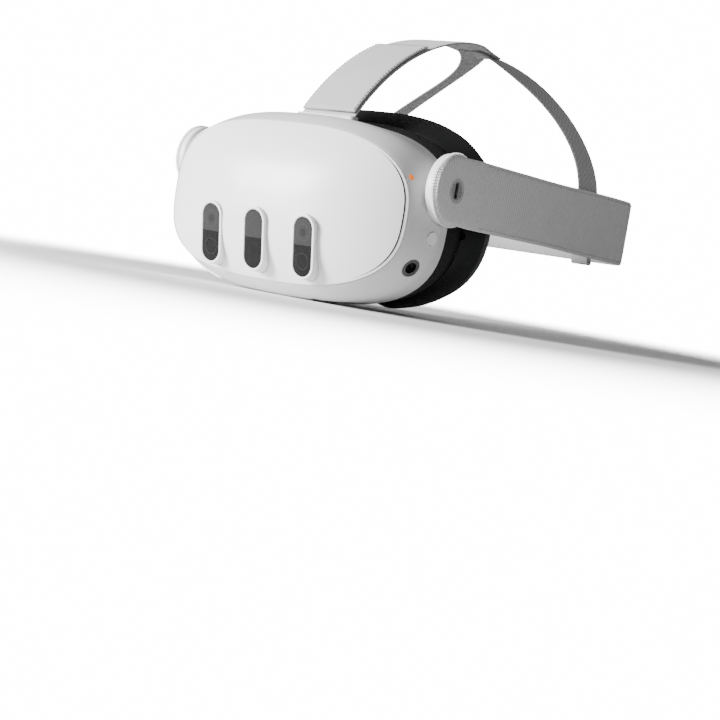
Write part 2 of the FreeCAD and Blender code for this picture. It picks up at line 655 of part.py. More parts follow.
def build_face_side():
    """Rear shell, sliding interface frame, cushion, nose flap and depth buttons."""
    centre, rear_y = size("visor_centre_z"), size("rear_shell_end_y")
    start_y = size("housing_rear_y") + 0.3
    outer = [face_wire(start_y, 84.6, 48.6, centre), face_wire(rear_y, 82.0, 50.0, centre + 3)]
    inner = [face_wire(rear_y, 79.8, 47.8, centre + 3), face_wire(start_y, 82.4, 46.4, centre)]
    feature("rear_shell", ring(outer + inner).cut(nose_notch(80).translate(Vector(0, 4, 0))))

    half_width, half_height = size("face_half_width"), size("face_half_height")
    middle, end_y = size("face_centre_z"), size("face_frame_end_y")
    begin_y = size("face_frame_start_y")
    wires = [face_wire(14.0, 78.4, 44.4, -18), face_wire(begin_y, 78.4, 44.4, -18),
             face_wire(begin_y + 0.4, 82.5, 50.5, -16.5), face_wire(35.0, 85.6, 53.6, -14.2),
             face_wire(end_y, half_width, half_height, middle),
             face_wire(end_y, half_width - 16, half_height - 16, middle),
             face_wire(end_y - 2.5, half_width - 16, half_height - 16, middle),
             face_wire(end_y - 2.5, half_width - 3, half_height - 3, middle),
             face_wire(35.0, 82.6, 50.6, -14.2), face_wire(begin_y + 2.5, 79.5, 47.5, -16.5),
             face_wire(begin_y + 2.5, 76.2, 42.2, -18), face_wire(14.0, 76.2, 42.2, -18)]
    frame = ring(wires).cut(nose_notch(80))
    window = Part.makeBox(200, 10.6, 16.6, Vector(-100, 15.2, centre - 8.3))
    frame = frame.cut(window)
    feature("interface_frame", frame)
    for name, side in (("left", 1), ("right", -1)):
        button = rounded_plate("depth_button_" + name, "16", "10", "2.2", "2.5")
        turn = Rotation(Vector(0, 1, 0), 90)
        keep(place(button, "%d * 76.1 - 1.1" % side, "20.5", "sizes.visor_centre_z", turn),
             "depth_button_" + name)

    cushion_end = size("cushion_end_y")
    wires = [face_wire(end_y + 0.3, half_width - 0.5, half_height - 0.5, middle),
             face_wire(cushion_end - 5, half_width - 3, half_height - 2.5, middle),
             face_wire(cushion_end, half_width - 8, half_height - 6, middle),
             face_wire(cushion_end, half_width - 14, half_height - 12, middle),
             face_wire(cushion_end - 6, half_width - 19, half_height - 18, middle),
             face_wire(end_y + 0.3, half_width - 18, half_height - 17, middle)]
    feature("face_cushion", ring(wires).cut(nose_notch(80)))
    top = middle - half_height + size("nose_height")
    radius = size("nose_half_width")
    flap = Part.makeCylinder(radius - 0.4, 14, Vector(0, 28, top - radius), Vector(0, 1, 0))
    flap = flap.cut(Part.makeCylinder(radius - 2.2, 20, Vector(0, 26, top - radius - 1), Vector(0, 1, 0)))
    flap = flap.cut(Part.makeBox(60, 20, 40, Vector(-30, 26, top - radius - 46)))
    feature("nose_flap", flap)


def build_arm(name, side):
    """Arm disc with its hinge pin and port ring, the stiff arm core and its speaker."""
    sign = "" if side > 0 else "-"
    turn = Rotation(Vector(0, 1, 0), 90 * side)
    hub = disc("arm_disc_" + name, "sizes.disc_radius", "sizes.strap_inner_x - 0.2 - sizes.disc_x",
               [("sizes.pin_radius + sizes.hinge_clearance", 0, 0)])
    keep(place(hub, sign + "sizes.disc_x", "0", "0", turn), "arm_disc_" + name)
    flange = disc("pin_flange_" + name, "sizes.pin_radius + 1", "1.6", [("sizes.pin_bore", 0, 0)])
    place(flange, sign + "sizes.pin_flange_x", "0", "0", turn)
    stem = disc("pin_stem_" + name, "sizes.pin_radius", "sizes.strap_inner_x - 0.4 - sizes.pin_flange_x",
                [("sizes.pin_bore", 0, 0)])
    place(stem, sign + "sizes.pin_flange_x", "0", "0", turn)
    pin = fuse("pin_" + name, flange, stem)

    thickness = "(sizes.strap_inner_x - 0.2 - sizes.arm_inner_x)"
    core_x = "%s(sizes.arm_inner_x + sizes.strap_inner_x - 0.2)/2" % sign
    block = box("arm_block_" + name, thickness, "42", "31", core_x, "40.5", "0")
    pocket = box("speaker_pocket_" + name, thickness, "24.4", "14.4",
                 "%s - (%s0.6)" % (core_x, sign), "43", "-4")
    slot = box("sound_slot_" + name, "1.2", "16", "12", "%s - (%s0.6)" % (core_x, sign), "43", "-14")
    keep(cut("arm_core_" + name, block, pocket, slot), "arm_core_" + name)
    speaker = box("speaker_" + name, "1.8", "24", "14", "%s - (%s0.4)" % (core_x, sign), "43", "-4")
    collar = disc("collar_" + name, "sizes.port_ring_radius", "2.2", [("sizes.port_radius + 0.1", 0, 0)])
    place(collar, sign + "(sizes.port_face_x - 2)", "0", "0", turn)
    return pin, speaker, collar


def build_arms():
    """Both arms; the small twins share a node each."""
    twins = [build_arm("left", 1), build_arm("right", -1)]
    for number, label in enumerate(("pivot_pins", "speakers", "port_rings")):
        keep(group(label, *[twin[number] for twin in twins]), label)


def build_ports():
    """USB-C receptacle in the left arm's pivot and audio jack in the right arm's pivot."""
    face, radius = size("port_face_x"), size("port_radius")
    across = Vector(1, 0, 0)
    shell = Part.makeCylinder(radius, 11, Vector(face - 11, 0, 0), across)
    mouth = stadium(2.8, 8.6, 8, 0, 0, 0)
    mouth.rotate(Vector(0, 0, 0), Vector(0, 0, 1), -90)
    mouth.translate(Vector(face - 7, 0, 0))
    tongue = Part.makeBox(6, 0.7, 6.4, Vector(face - 7.5, -0.35, -3.2))
    feature("usb_c_port", shell.cut(mouth).fuse(tongue).removeSplitter())
    depth = size("jack_depth")
    barrel = Part.makeCylinder(radius, depth + 1, Vector(-face, 0, 0), across)
    bore = Part.makeCylinder(size("jack_radius"), depth, Vector(-face, 0, 0), across)
    feature("audio_jack", barrel.cut(bore))


def build_loop():
    """Side straps, rear band and the two sliders that set its length."""
    inner_x, thick = size("strap_inner_x"), size("strap_thickness")
    half, end_y, radius = size("strap_half_width"), size("side_end_y"), size("corner_radius")
    for name, side in (("left", 1), ("right", -1)):
        low_x = inner_x if side > 0 else -inner_x - thick
        strap = Part.makeBox(thick, end_y, 2 * half, Vector(low_x, 0, -half))
        nose = Part.makeCylinder(half, thick, Vector(low_x, 0, 0), Vector(1, 0, 0))
        hole = Part.makeCylinder(size("port_ring_radius") + 0.1, thick + 2, Vector(low_x - 1, 0, 0),
                                 Vector(1, 0, 0))
        feature("side_strap_" + name, strap.fuse(nose).removeSplitter().cut(hole))

    high = size("rear_half_width")

    def plan(offset):
        """The band's plan line, offset outwards: corner arc, straight back, corner arc."""
        outer_x, rear_y = inner_x + offset, size("loop_rear_y") + offset
        centre_x, centre_y = inner_x + thick - radius, size("loop_rear_y") + thick - radius
        bend = radius - thick + offset
        right_mid = Vector(centre_x + bend * math.sqrt(0.5), centre_y + bend * math.sqrt(0.5), -high)
        left_mid = Vector(-right_mid.x, right_mid.y, -high)
        start, turn = Vector(outer_x, end_y + 0.2, -high), Vector(centre_x, rear_y, -high)
        end, back = Vector(-outer_x, end_y + 0.2, -high), Vector(-centre_x, rear_y, -high)
        straight = Vector(outer_x, centre_y, -high), Vector(-outer_x, centre_y, -high)
        return [Part.makeLine(start, straight[0]), Part.Arc(straight[0], right_mid, turn).toShape(),
                Part.makeLine(turn, back), Part.Arc(back, left_mid, straight[1]).toShape(),
                Part.makeLine(straight[1], end)]

    outer, inner = plan(thick), plan(0.0)
    ends = [Part.makeLine(outer[0].Vertexes[0].Point, inner[0].Vertexes[0].Point),
            Part.makeLine(outer[-1].Vertexes[-1].Point, inner[-1].Vertexes[-1].Point)]
    wire = Part.Wire(Part.__sortEdges__(outer + inner + ends))
    feature("rear_band", Part.Face(wire).extrude(Vector(0, 0, 2 * high)))
    for name, sign in (("left", ""), ("right", "-")):
        shell = box("slider_shell_" + name, "sizes.slider_width", "sizes.strap_thickness + 4",
                    "2*sizes.rear_half_width + 4.4", sign + "sizes.slider_x",
                    "sizes.loop_rear_y + sizes.strap_thickness/2", "0")
        slot = box("slider_slot_" + name, "sizes.slider_width + 2", "sizes.strap_thickness + 0.8",
                   "2*sizes.rear_half_width + 0.8", sign + "sizes.slider_x",
                   "sizes.loop_rear_y + sizes.strap_thickness/2", "0")
        keep(cut("slider_" + name, shell, slot), "slider_" + name)


def crown_arc(start_y, end_y, lift, thick):
    """A stretch of the crown strap: an arc in side view, given width across the head."""
    half = size("crown_half_width")
    centre = Vector(-half, size("crown_centre_y"), size("crown_centre_z"))

    def at(y, radius):
        """The arc's point whose place along the strap is the one that y has on the mid radius."""
        angle = math.acos((y - centre.y) / size("crown_radius"))
        return centre + Vector(0, radius * math.cos(angle), radius * math.sin(angle))

    low, high = size("crown_radius") + lift, size("crown_radius") + lift + thick
    middle_y = (start_y + end_y) / 2
    edges = [Part.Arc(at(start_y, low), at(middle_y, low), at(end_y, low)).toShape(),
             Part.makeLine(at(end_y, low), at(end_y, high)),
             Part.Arc(at(end_y, high), at(middle_y, high), at(start_y, high)).toShape(),
             Part.makeLine(at(start_y, high), at(start_y, low))]
    return Part.Face(Part.Wire(edges)).extrude(Vector(2 * half, 0, 0))


def build_crown():
    """Crown strap: front part on the visor, its folded-back layer, rear part and two branches."""
    thick = size("crown_thickness")
    front_y = size("crown_front_y")
    feature("crown_strap_front", crown_arc(front_y, size("crown_gap_start_y"), -thick, thick))
    feature("crown_strap_fold", crown_arc(front_y + 1, size("fold_end_y"), 0.2, thick))
    feature("crown_strap_rear", crown_arc(size("crown_gap_end_y"), size("crown_end_y"), -thick, thick))
    anchor = rounded_plate("crown_anchor", "2*sizes.crown_half_width + 2", "6", "2.4", "2")
    keep(place(anchor, "0", "-0.5", "sizes.visor_centre_z + sizes.visor_half_height + 0.1"), "crown_anchor")

    top = Vector(size("fork_top_x"), 0, size("fork_top_z"))
    foot = Vector(size("fork_foot_x"), 0, size("fork_foot_z"))
    chord = foot - top
    half_chord = chord.Length / 2
    radius = size("fork_radius")
    bulge = radius - math.sqrt(radius ** 2 - half_chord ** 2)
    outward = Vector(-chord.z, 0, chord.x).normalize()
    if outward.x < 0:
        outward = -outward
    middle = (top + foot) / 2 + outward * bulge
    centre = middle - outward * radius

    def away(point, distance):
        return point + (point - centre).normalize() * distance

    thin = size("fork_thickness")
    edges = [Part.Arc(top, middle, foot).toShape(), Part.makeLine(foot, away(foot, thin)),
             Part.Arc(away(foot, thin), away(middle, thin), away(top, thin)).toShape(),
             Part.makeLine(away(top, thin), top)]
    width = size("fork_width")
    branch = Part.Face(Part.Wire(edges)).extrude(Vector(0, width, 0))
    lean = (size("fork_foot_y") - size("fork_top_y")) / (size("fork_top_z") - size("fork_foot_z"))
    shear = FreeCAD.Matrix(1, 0, 0, 0, 0, 1, -lean, size("fork_foot_y") - width / 2
                           + lean * size("fork_foot_z"), 0, 0, 1, 0, 0, 0, 0, 1)
    branch = branch.transformGeometry(shear)
    feature("strap_branch_left", branch)
    feature("strap_branch_right", branch.mirror(Vector(0, 0, 0), Vector(1, 0, 0)))


build_visor_skin()
build_pills()
build_side_sensors()
build_electronics()
build_frames()
build_optics()
build_lens_drive()
build_face_side()
build_arms()
build_ports()
build_loop()
build_crown()


def write_parts():
    """Check every object and write one STEP file for each piece."""
    doc.recompute()
    for obj in doc.Objects:
        if "Invalid" in obj.State or "Error" in obj.State:
            raise RuntimeError("%s failed: %s" % (obj.Label, obj.State))
    os.makedirs("parts", exist_ok=True)
    for obj in nodes:
        if obj.Shape.isNull() or not obj.Shape.isValid():
            raise RuntimeError("%s has no valid shape" % obj.Label)
        obj.Shape.exportStep("parts/%s.step" % obj.Label)
        print("%-22s %9.1f mm3 %d solid(s)" % (obj.Label, obj.Shape.Volume, len(obj.Shape.Solids)))


write_parts()
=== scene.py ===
# %% [markdown]
# A head-worn display: a domed white visor with three sensor windows, hinged strap arms, a woven strap
# loop and a crown strap. The CAD frame holds the mechanics; this file makes what the eye sees.
# Everything is placed from the CAD boxes, in metres, with +Z up and the visor facing -Y.

# %% Load the frame
import math

import bmesh
import bpy
from mathutils import Matrix, Vector


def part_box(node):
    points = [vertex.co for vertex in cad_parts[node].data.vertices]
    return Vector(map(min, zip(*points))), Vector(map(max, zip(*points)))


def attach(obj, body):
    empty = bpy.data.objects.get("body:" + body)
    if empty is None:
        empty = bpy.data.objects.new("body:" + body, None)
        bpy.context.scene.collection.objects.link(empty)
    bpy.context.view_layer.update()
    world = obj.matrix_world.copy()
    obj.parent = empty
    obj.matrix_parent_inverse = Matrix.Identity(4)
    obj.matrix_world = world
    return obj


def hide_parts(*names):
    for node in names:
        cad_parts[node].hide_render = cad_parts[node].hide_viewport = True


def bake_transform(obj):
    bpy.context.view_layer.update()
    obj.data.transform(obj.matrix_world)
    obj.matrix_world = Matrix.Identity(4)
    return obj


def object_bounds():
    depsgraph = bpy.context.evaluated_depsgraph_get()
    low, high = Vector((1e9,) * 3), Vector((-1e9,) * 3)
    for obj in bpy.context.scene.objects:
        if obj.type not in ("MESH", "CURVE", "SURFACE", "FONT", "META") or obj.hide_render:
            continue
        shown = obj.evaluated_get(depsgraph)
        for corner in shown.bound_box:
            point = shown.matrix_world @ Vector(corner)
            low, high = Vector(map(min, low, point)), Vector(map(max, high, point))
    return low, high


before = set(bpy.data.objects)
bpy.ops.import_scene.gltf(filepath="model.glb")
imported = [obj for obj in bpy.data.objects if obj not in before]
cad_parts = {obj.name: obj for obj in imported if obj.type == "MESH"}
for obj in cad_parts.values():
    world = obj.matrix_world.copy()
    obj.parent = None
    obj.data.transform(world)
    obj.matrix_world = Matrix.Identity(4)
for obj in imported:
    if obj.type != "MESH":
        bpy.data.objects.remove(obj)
cad_low, cad_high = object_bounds()
MM = 0.001

disc_low, disc_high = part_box("arm_disc_left")
PIVOT = Vector((0, (disc_low.y + disc_high.y) / 2, (disc_low.z + disc_high.z) / 2))


def about_pivot(x, y, z):
    """A point given in millimetres from the strap pivot, in the frame's metres."""
    return PIVOT + Vector((x, y, z)) * MM


print("CAD box", [round(v, 4) for v in (*cad_low, *cad_high)], "pivot", [round(v, 4) for v in PIVOT])

# %% [markdown]
# The view looks up at the visor from its left front with a long lens, rolled a little. A camera's own
# axes are its right, its up and the way back towards the viewer, so three angles give its turn.

# %% Camera
VIEW_TURN, VIEW_DROP, VIEW_ROLL = map(math.radians, (36.93, 3.415, 9.577))
LENS_MM = 77.41
CAMERA_PLACE = (544.8, -659.2, -46.3)
level_right = Vector((math.cos(VIEW_TURN), math.sin(VIEW_TURN), 0))
forward = Vector((-math.sin(VIEW_TURN) * math.cos(VIEW_DROP),
                  math.cos(VIEW_TURN) * math.cos(VIEW_DROP),
                  -math.sin(VIEW_DROP)))
level_up = level_right.cross(forward)
right = level_right * math.cos(VIEW_ROLL) + level_up * math.sin(VIEW_ROLL)
up = level_up * math.cos(VIEW_ROLL) - level_right * math.sin(VIEW_ROLL)
camera_data = bpy.data.cameras.new("camera")
camera_data.lens = LENS_MM
camera_data.clip_start = 0.01
camera = bpy.data.objects.new("camera", camera_data)
bpy.context.scene.collection.objects.link(camera)
turn = Matrix((right, up, -forward)).transposed().to_4x4()
camera.matrix_world = Matrix.Translation(about_pivot(*CAMERA_PLACE)) @ turn
bpy.context.scene.camera = camera
print("camera at", [round(v, 3) for v in camera.matrix_world.translation])

# %% [markdown]
# A product is shown on a pale floor that fades into a pale sky, so no edge shows behind it. The sky is
# seen white but lights the headset only softly, and the fade is a radial blend on the floor's own
# coordinates. A broad key light from the front left shapes the dome, and a weak fill opens the shade.

# %% Floor and lights
FLOOR_RADIUS, FLOOR_SOLID = 0.62, 0.2
FLOOR_CORNERS, FLOOR_DROP = 96, 0.2 * MM
CENTRE = Vector((0, 0, (cad_low.z + cad_high.z) / 2))
# Each light is a name, a place in metres, the side of its square and its power in watts.
LIGHTS = (("key", (-0.85, -1.3, 0.42), 0.55, 96),
          ("fill", (1.5, -0.5, 0.5), 1.0, 1.5),
          ("top", (0.2, 0.5, 1.6), 1.2, 1.8))
SKY_SEEN, SKY_LIGHT, SKY_TINT = 16.0, 0.25, (0.98, 0.985, 1.0, 1)


def circle_angles(count):
    """Even steps round a full turn."""
    return [2 * math.pi * step / count for step in range(count)]


def make_floor():
    """One large disc just under the headset."""
    mesh = bpy.data.meshes.new("floor")
    corners = [Vector((FLOOR_RADIUS * math.cos(angle), FLOOR_RADIUS * math.sin(angle), -FLOOR_DROP))
               for angle in circle_angles(FLOOR_CORNERS)]
    mesh.from_pydata(corners, [], [list(range(FLOOR_CORNERS))])
    floor = bpy.data.objects.new("floor", mesh)
    bpy.context.scene.collection.objects.link(floor)
    return floor


def area_light(name, place, size, power):
    """A square soft light aimed at the headset's middle."""
    place = Vector(place)
    data = bpy.data.lights.new(name, "AREA")
    data.size = size
    data.energy = power
    light = bpy.data.objects.new(name, data)
    bpy.context.scene.collection.objects.link(light)
    light.location = place
    light.rotation_euler = (CENTRE - place).to_track_quat("-Z", "Y").to_euler()


floor = make_floor()
for values in LIGHTS:
    area_light(*values)
world = bpy.data.worlds.new("studio")
world.use_nodes = True
sky = world.node_tree.nodes["Background"]
sky.inputs["Color"].default_value = SKY_TINT
ray = world.node_tree.nodes.new("ShaderNodeLightPath")
level = world.node_tree.nodes.new("ShaderNodeMapRange")
level.inputs["To Min"].default_value = SKY_LIGHT
level.inputs["To Max"].default_value = SKY_SEEN
world.node_tree.links.new(ray.outputs["Is Camera Ray"], level.inputs["Value"])
world.node_tree.links.new(level.outputs["Result"], sky.inputs["Strength"])
bpy.context.scene.world = world
print("floor and", len(LIGHTS), "lights")

# %% [markdown]
# Every finish is a node tree on a Principled shader. The helpers below keep the trees short: a recipe
# adds what it needs, such as noise, waves or a mix, and links it to the shader's sockets. Patterns read
# Object coordinates in metres on moulded parts, and the piece's own UV map, also in metres, on cloth.


# %% Material helpers
class Finish:
    """A material under construction: its tree, its shader and a few short-hands."""

    def __init__(self, name, colour, roughness, **sockets):
        self.material = bpy.data.materials.new(name)
        self.material.use_nodes = True
        self.tree = self.material.node_tree
        self.shader = self.tree.nodes["Principled BSDF"]
        self.shader.inputs["Base Color"].default_value = (*colour, 1)
        self.shader.inputs["Roughness"].default_value = roughness
        for socket, value in sockets.items():
            self.shader.inputs[socket.replace("_", " ")].default_value = value
        self.where = self.tree.nodes.new("ShaderNodeTexCoord")

    def node(self, kind, **values):
        """A new node, with properties and inputs given by name."""
        made = self.tree.nodes.new("ShaderNode" + kind)
        for key, value in values.items():
            if hasattr(made, key):
                setattr(made, key, value)
            else:
                made.inputs[key.replace("_", " ")].default_value = value
        return made

    def link(self, source, target):
        """Join an output to an input."""
        self.tree.links.new(source, target)

    def place(self, cloth=False, turn=(0, 0, 0), stretch=(1, 1, 1)):
        """Pattern coordinates: Object, or the cloth's own UV, turned and stretched."""
        mapping = self.node("Mapping")
        mapping.inputs["Rotation"].default_value = turn
        mapping.inputs["Scale"].default_value = stretch
        self.link(self.where.outputs["UV" if cloth else "Object"], mapping.inputs["Vector"])
        return mapping.outputs["Vector"]

    def noise(self, scale, detail=2.0, **where):
        """Soft noise from 0 to 1."""
        texture = self.node("TexNoise", Scale=scale, Detail=detail)
        self.link(self.place(**where), texture.inputs["Vector"])
        return texture.outputs["Fac"]

    def wave(self, scale, distortion=0.0, axis="X", **where):
        """Bands across one axis, from 0 to 1."""
        texture = self.node("TexWave", Scale=scale, Distortion=distortion)
        texture.bands_direction = axis
        self.link(self.place(**where), texture.inputs["Vector"])
        return texture.outputs["Fac"]

    def maths(self, operation, first, second=0):
        """One sum on numbers or node outputs."""
        made = self.node("Math", operation=operation)
        for socket, value in zip(made.inputs, (first, second)):
            if isinstance(value, (int, float)):
                socket.default_value = value
            else:
                self.link(value, socket)
        return made.outputs["Value"]

    def spread(self, value, low, high, socket):
        """Send a 0-1 value to a shader socket as low to high."""
        made = self.node("MapRange")
        made.inputs["To Min"].default_value = low
        made.inputs["To Max"].default_value = high
        self.link(value, made.inputs["Value"])
        self.link(made.outputs["Result"], self.shader.inputs[socket])

    def tint(self, value, dark, light):
        """Colour that runs from dark to light with a 0-1 value."""
        ramp = self.node("ValToRGB")
        ramp.color_ramp.elements[0].color = (*dark, 1)
        ramp.color_ramp.elements[1].color = (*light, 1)
        self.link(value, ramp.inputs["Fac"])
        self.link(ramp.outputs["Color"], self.shader.inputs["Base Color"])

    def bump(self, height, depth_mm, strength=1.0):
        """Surface relief from a 0-1 height, its full height in millimetres."""
        made = self.node("Bump", Strength=strength, Distance=depth_mm * MM)
        self.link(height, made.inputs["Height"])
        self.link(made.outputs["Normal"], self.shader.inputs["Normal"])


def shade(value):
    """A grey given as it looks on screen, 0 to 255, as linear light."""
    part = value / 255
    return part / 12.92 if part < 0.04045 else ((part + 0.055) / 1.055) ** 2.4


def grey(value):
    """The same as a colour."""
    return (shade(value),) * 3


print("a mid grey is", round(shade(128), 3), "in linear light")

# %% [markdown]
# Moulded shells are satin: a fine spark-eroded grain breaks up the gloss, a slow cloud of noise keeps a
# large white face from looking flat, and roughness wanders a few percent as handling polishes it.


# %% Plastic finishes
def satin_plastic(name, value, roughness, grain_mm=0.012, drift=3, shine=0.5):
    """A moulded grey of 0 to 255, which drifts a few steps lighter and darker."""
    made = Finish(name, grey(value), roughness, IOR=1.46, Specular_IOR_Level=shine)
    cloud = made.noise(14, 3)
    made.tint(cloud, grey(value - drift), grey(value + drift))
    made.spread(made.noise(60, 4), roughness - 0.05, roughness + 0.05, "Roughness")
    made.bump(made.noise(5200, 2), grain_mm, 0.5)
    return made.material


WHITE = satin_plastic("satin_white", 232, 0.36)
# The housing's copy of the white plastic is painted darker, as painted shade on the sides that turn from the
# key light.
WHITE_HOUSING_PAINTED_SHADE = satin_plastic("satin_white_housing_painted_shade", 206, 0.4)
# The faceplate's copy is painted a little lighter, as painted light where the key light falls on it.
WHITE_FACE_PAINTED_LIGHT = satin_plastic("satin_white_face_painted_light", 236, 0.33)
TRIM = satin_plastic("satin_grey_trim", 168, 0.42)
BLACK = satin_plastic("fine_black", 15, 0.5, 0.03, 2, 0.22)
SEAM = satin_plastic("seam_gasket", 10, 0.6, 0.02, 2, 0.1)
NYLON = satin_plastic("gear_nylon", 70, 0.45, 0.01, 4)
TUBE = satin_plastic("lens_tube_black", 14, 0.55, 0.02, 2, 0.22)


def gloss_black():
    """Polished plastic under a clear coat, on small sensors and panels."""
    made = Finish("gloss_black", grey(18), 0.08, IOR=1.5, Coat_Weight=0.6, Coat_Roughness=0.04)
    made.spread(made.noise(90, 3), 0.06, 0.13, "Roughness")
    made.bump(made.noise(700, 1), 0.002, 0.3)
    return made.material


def lens_glass():
    """Clear plastic with the faint violet of its coating."""
    made = Finish("coated_lens", grey(190), 0.03, IOR=1.49, Transmission_Weight=0.75, Coat_Weight=0.5)
    made.tint(made.noise(30, 2), (0.42, 0.47, 0.56), (0.52, 0.5, 0.6))
    made.spread(made.noise(400, 3), 0.02, 0.06, "Roughness")
    return made.material


GLOSS = gloss_black()
LENS = lens_glass()


def status_glow():
    """The orange light guide."""
    made = Finish("status_glow", (0.6, 0.12, 0.0), 0.5, Emission_Strength=0.85, Specular_IOR_Level=0.1)
    made.shader.inputs["Emission Color"].default_value = (1.0, 0.17, 0.0, 1)
    made.tint(made.noise(900, 1), (0.5, 0.1, 0.0), (0.7, 0.2, 0.01))
    return made.material


GLOW = status_glow()
print("plastics:", [finish.name for finish in (WHITE, WHITE_HOUSING_PAINTED_SHADE, WHITE_FACE_PAINTED_LIGHT, TRIM, BLACK, SEAM, NYLON,
                                               TUBE, GLOSS, LENS, GLOW)])

# %% [markdown]
# Metals inside the visor are turned or cast. Brushing is noise stretched along one axis, which tints the
# colour, the roughness and a little relief together.


# %% Metal finishes
def brushed(name, value, roughness, stretch):
    """A metal brushed along the axis that is stretched least."""
    made = Finish(name, grey(value), roughness, Metallic=1.0)
    lines = made.noise(900, 3, stretch=stretch)
    made.tint(lines, grey(value - 24), grey(value + 14))
    made.spread(lines, roughness - 0.08, roughness + 0.1, "Roughness")
    made.bump(lines, 0.01, 0.5)
    return made.material


STEEL = brushed("turned_steel", 196, 0.28, (0.06, 1, 1))
ALLOY = brushed("cast_alloy", 176, 0.45, (1, 1, 0.15))


def circuit_board():
    """Green mask with fine copper runs that show through as lighter steps."""
    made = Finish("circuit_board", (0.01, 0.06, 0.03), 0.35, Coat_Weight=0.4)
    cells = made.node("TexVoronoi", feature="F1", distance="CHEBYCHEV", Scale=260)
    made.link(made.place(), cells.inputs["Vector"])
    runs = made.maths("GREATER_THAN", made.wave(170, 0, "DIAGONAL"), 0.8)
    both = made.maths("MAXIMUM", cells.outputs["Distance"], made.maths("MULTIPLY", runs, 0.5))
    made.tint(both, (0.006, 0.045, 0.022), (0.03, 0.16, 0.08))
    made.bump(both, 0.05, 0.6)
    return made.material


def battery_wrap():
    """Creased foil round the cells."""
    made = Finish("battery_wrap", (0.1, 0.12, 0.15), 0.3)
    creases = made.noise(120, 5, stretch=(0.3, 1, 2))
    made.tint(creases, (0.05, 0.06, 0.08), (0.14, 0.16, 0.2))
    made.spread(creases, 0.2, 0.45, "Roughness")
    made.bump(creases, 0.2, 0.5)
    return made.material


BOARD = circuit_board()
WRAP = battery_wrap()
print("metals and inner parts:", [finish.name for finish in (STEEL, ALLOY, BOARD, WRAP)])

# %% [markdown]
# The loop strap is a knitted elastic with fine upright ribs, and the crown strap a denser pale weave.
# Cloth UVs run along and across the strap in metres, so the yarn keeps its size round every corner. Two
# crossed waves make the yarns, noise makes some of them paler, and sheen lifts the grazing edges.


# %% Cloth finishes
BANDS_PER_SCALE = 3.18


def woven(name, value, along, across, relief_mm, turn=0.0, fleck=10):
    """Yarns crossed at right angles; along and across count the yarns in two millimetres.

    A Wave texture makes BANDS_PER_SCALE bands in a metre for each unit of its scale.
    """
    made = Finish(name, grey(value), 0.85, Sheen_Weight=0.25, Sheen_Roughness=0.5)
    per_metre = 1 / (2 * MM)
    turned = dict(cloth=True, turn=(0, 0, turn))
    warp = made.wave(along * per_metre / BANDS_PER_SCALE, 0.6, "X", **turned)
    weft = made.wave(across * per_metre / BANDS_PER_SCALE, 0.6, "Y", **turned)
    yarns = made.maths("MULTIPLY", warp, made.maths("ADD", made.maths("MULTIPLY", weft, 0.6), 0.4))
    flecks = made.noise(2600, 2, cloth=True)
    cloud = made.noise(55, 3, cloth=True)
    mixed = made.maths("ADD", made.maths("MULTIPLY", yarns, 0.55),
                       made.maths("ADD", made.maths("MULTIPLY", flecks, 0.3),
                                  made.maths("MULTIPLY", cloud, 0.15)))
    made.tint(mixed, grey(value - 3 * fleck), grey(value + 2 * fleck))
    made.bump(yarns, relief_mm, 0.8)
    return made.material


STRAP_CLOTH = woven("ribbed_grey_strap", 204, 1.1, 2.4, 0.22)
CROWN_CLOTH = woven("pale_crown_webbing", 184, 1.7, 1.7, 0.16, fleck=15)
BRANCH_CLOTH = woven("diagonal_branch_webbing", 172, 0.9, 3.0, 0.3, turn=math.radians(50), fleck=12)
KNIT = woven("cushion_knit", 40, 1.6, 1.6, 0.2, fleck=7)


def stitch_thread():
    """Twisted pale thread."""
    made = Finish("stitch_thread", grey(176), 0.8, Sheen_Weight=0.3)
    twist = made.wave(420, 1, "DIAGONAL")
    made.tint(twist, grey(140), grey(190))
    made.bump(twist, 0.05, 0.7)
    return made.material


def silicone():
    """Soft matt rubber of the nose flap."""
    made = Finish("nose_silicone", grey(30), 0.55, Sheen_Weight=0.1)
    made.tint(made.noise(80, 3), grey(26), grey(36))
    made.spread(made.noise(300, 4), 0.48, 0.66, "Roughness")
    made.bump(made.noise(1800, 3), 0.03, 0.5)
    return made.material


def speaker_grille():
    """Even small holes in black."""
    made = Finish("speaker_grille", grey(22), 0.5)
    holes = made.node("TexVoronoi", feature="F1", Scale=900, Randomness=0.0)
    made.link(made.place(), holes.inputs["Vector"])
    made.tint(holes.outputs["Distance"], grey(8), grey(44))
    made.bump(holes.outputs["Distance"], 0.3, 0.8)
    return made.material


THREAD = stitch_thread()
SILICONE = silicone()
GRILLE = speaker_grille()
print("cloth and soft finishes:", [finish.name for finish in (STRAP_CLOTH, CROWN_CLOTH, BRANCH_CLOTH, KNIT,
                                                              THREAD, SILICONE, GRILLE)])

# %% [markdown]
# The sensor windows are dark tinted panes with a paler upper half, split by a level line, and rings
# round the two cameras behind each outer pane. The split and the rings are read from Object coordinates.


# %% Window finish
SPLIT_RISE, UPPER_LEVEL = 0.8, 0.55
LENS_RING, LENS_LINE, LENS_PUPIL = 4.2, 0.35, 2.0
LINE_LEVEL, PUPIL_LEVEL = 0.14, 0.22


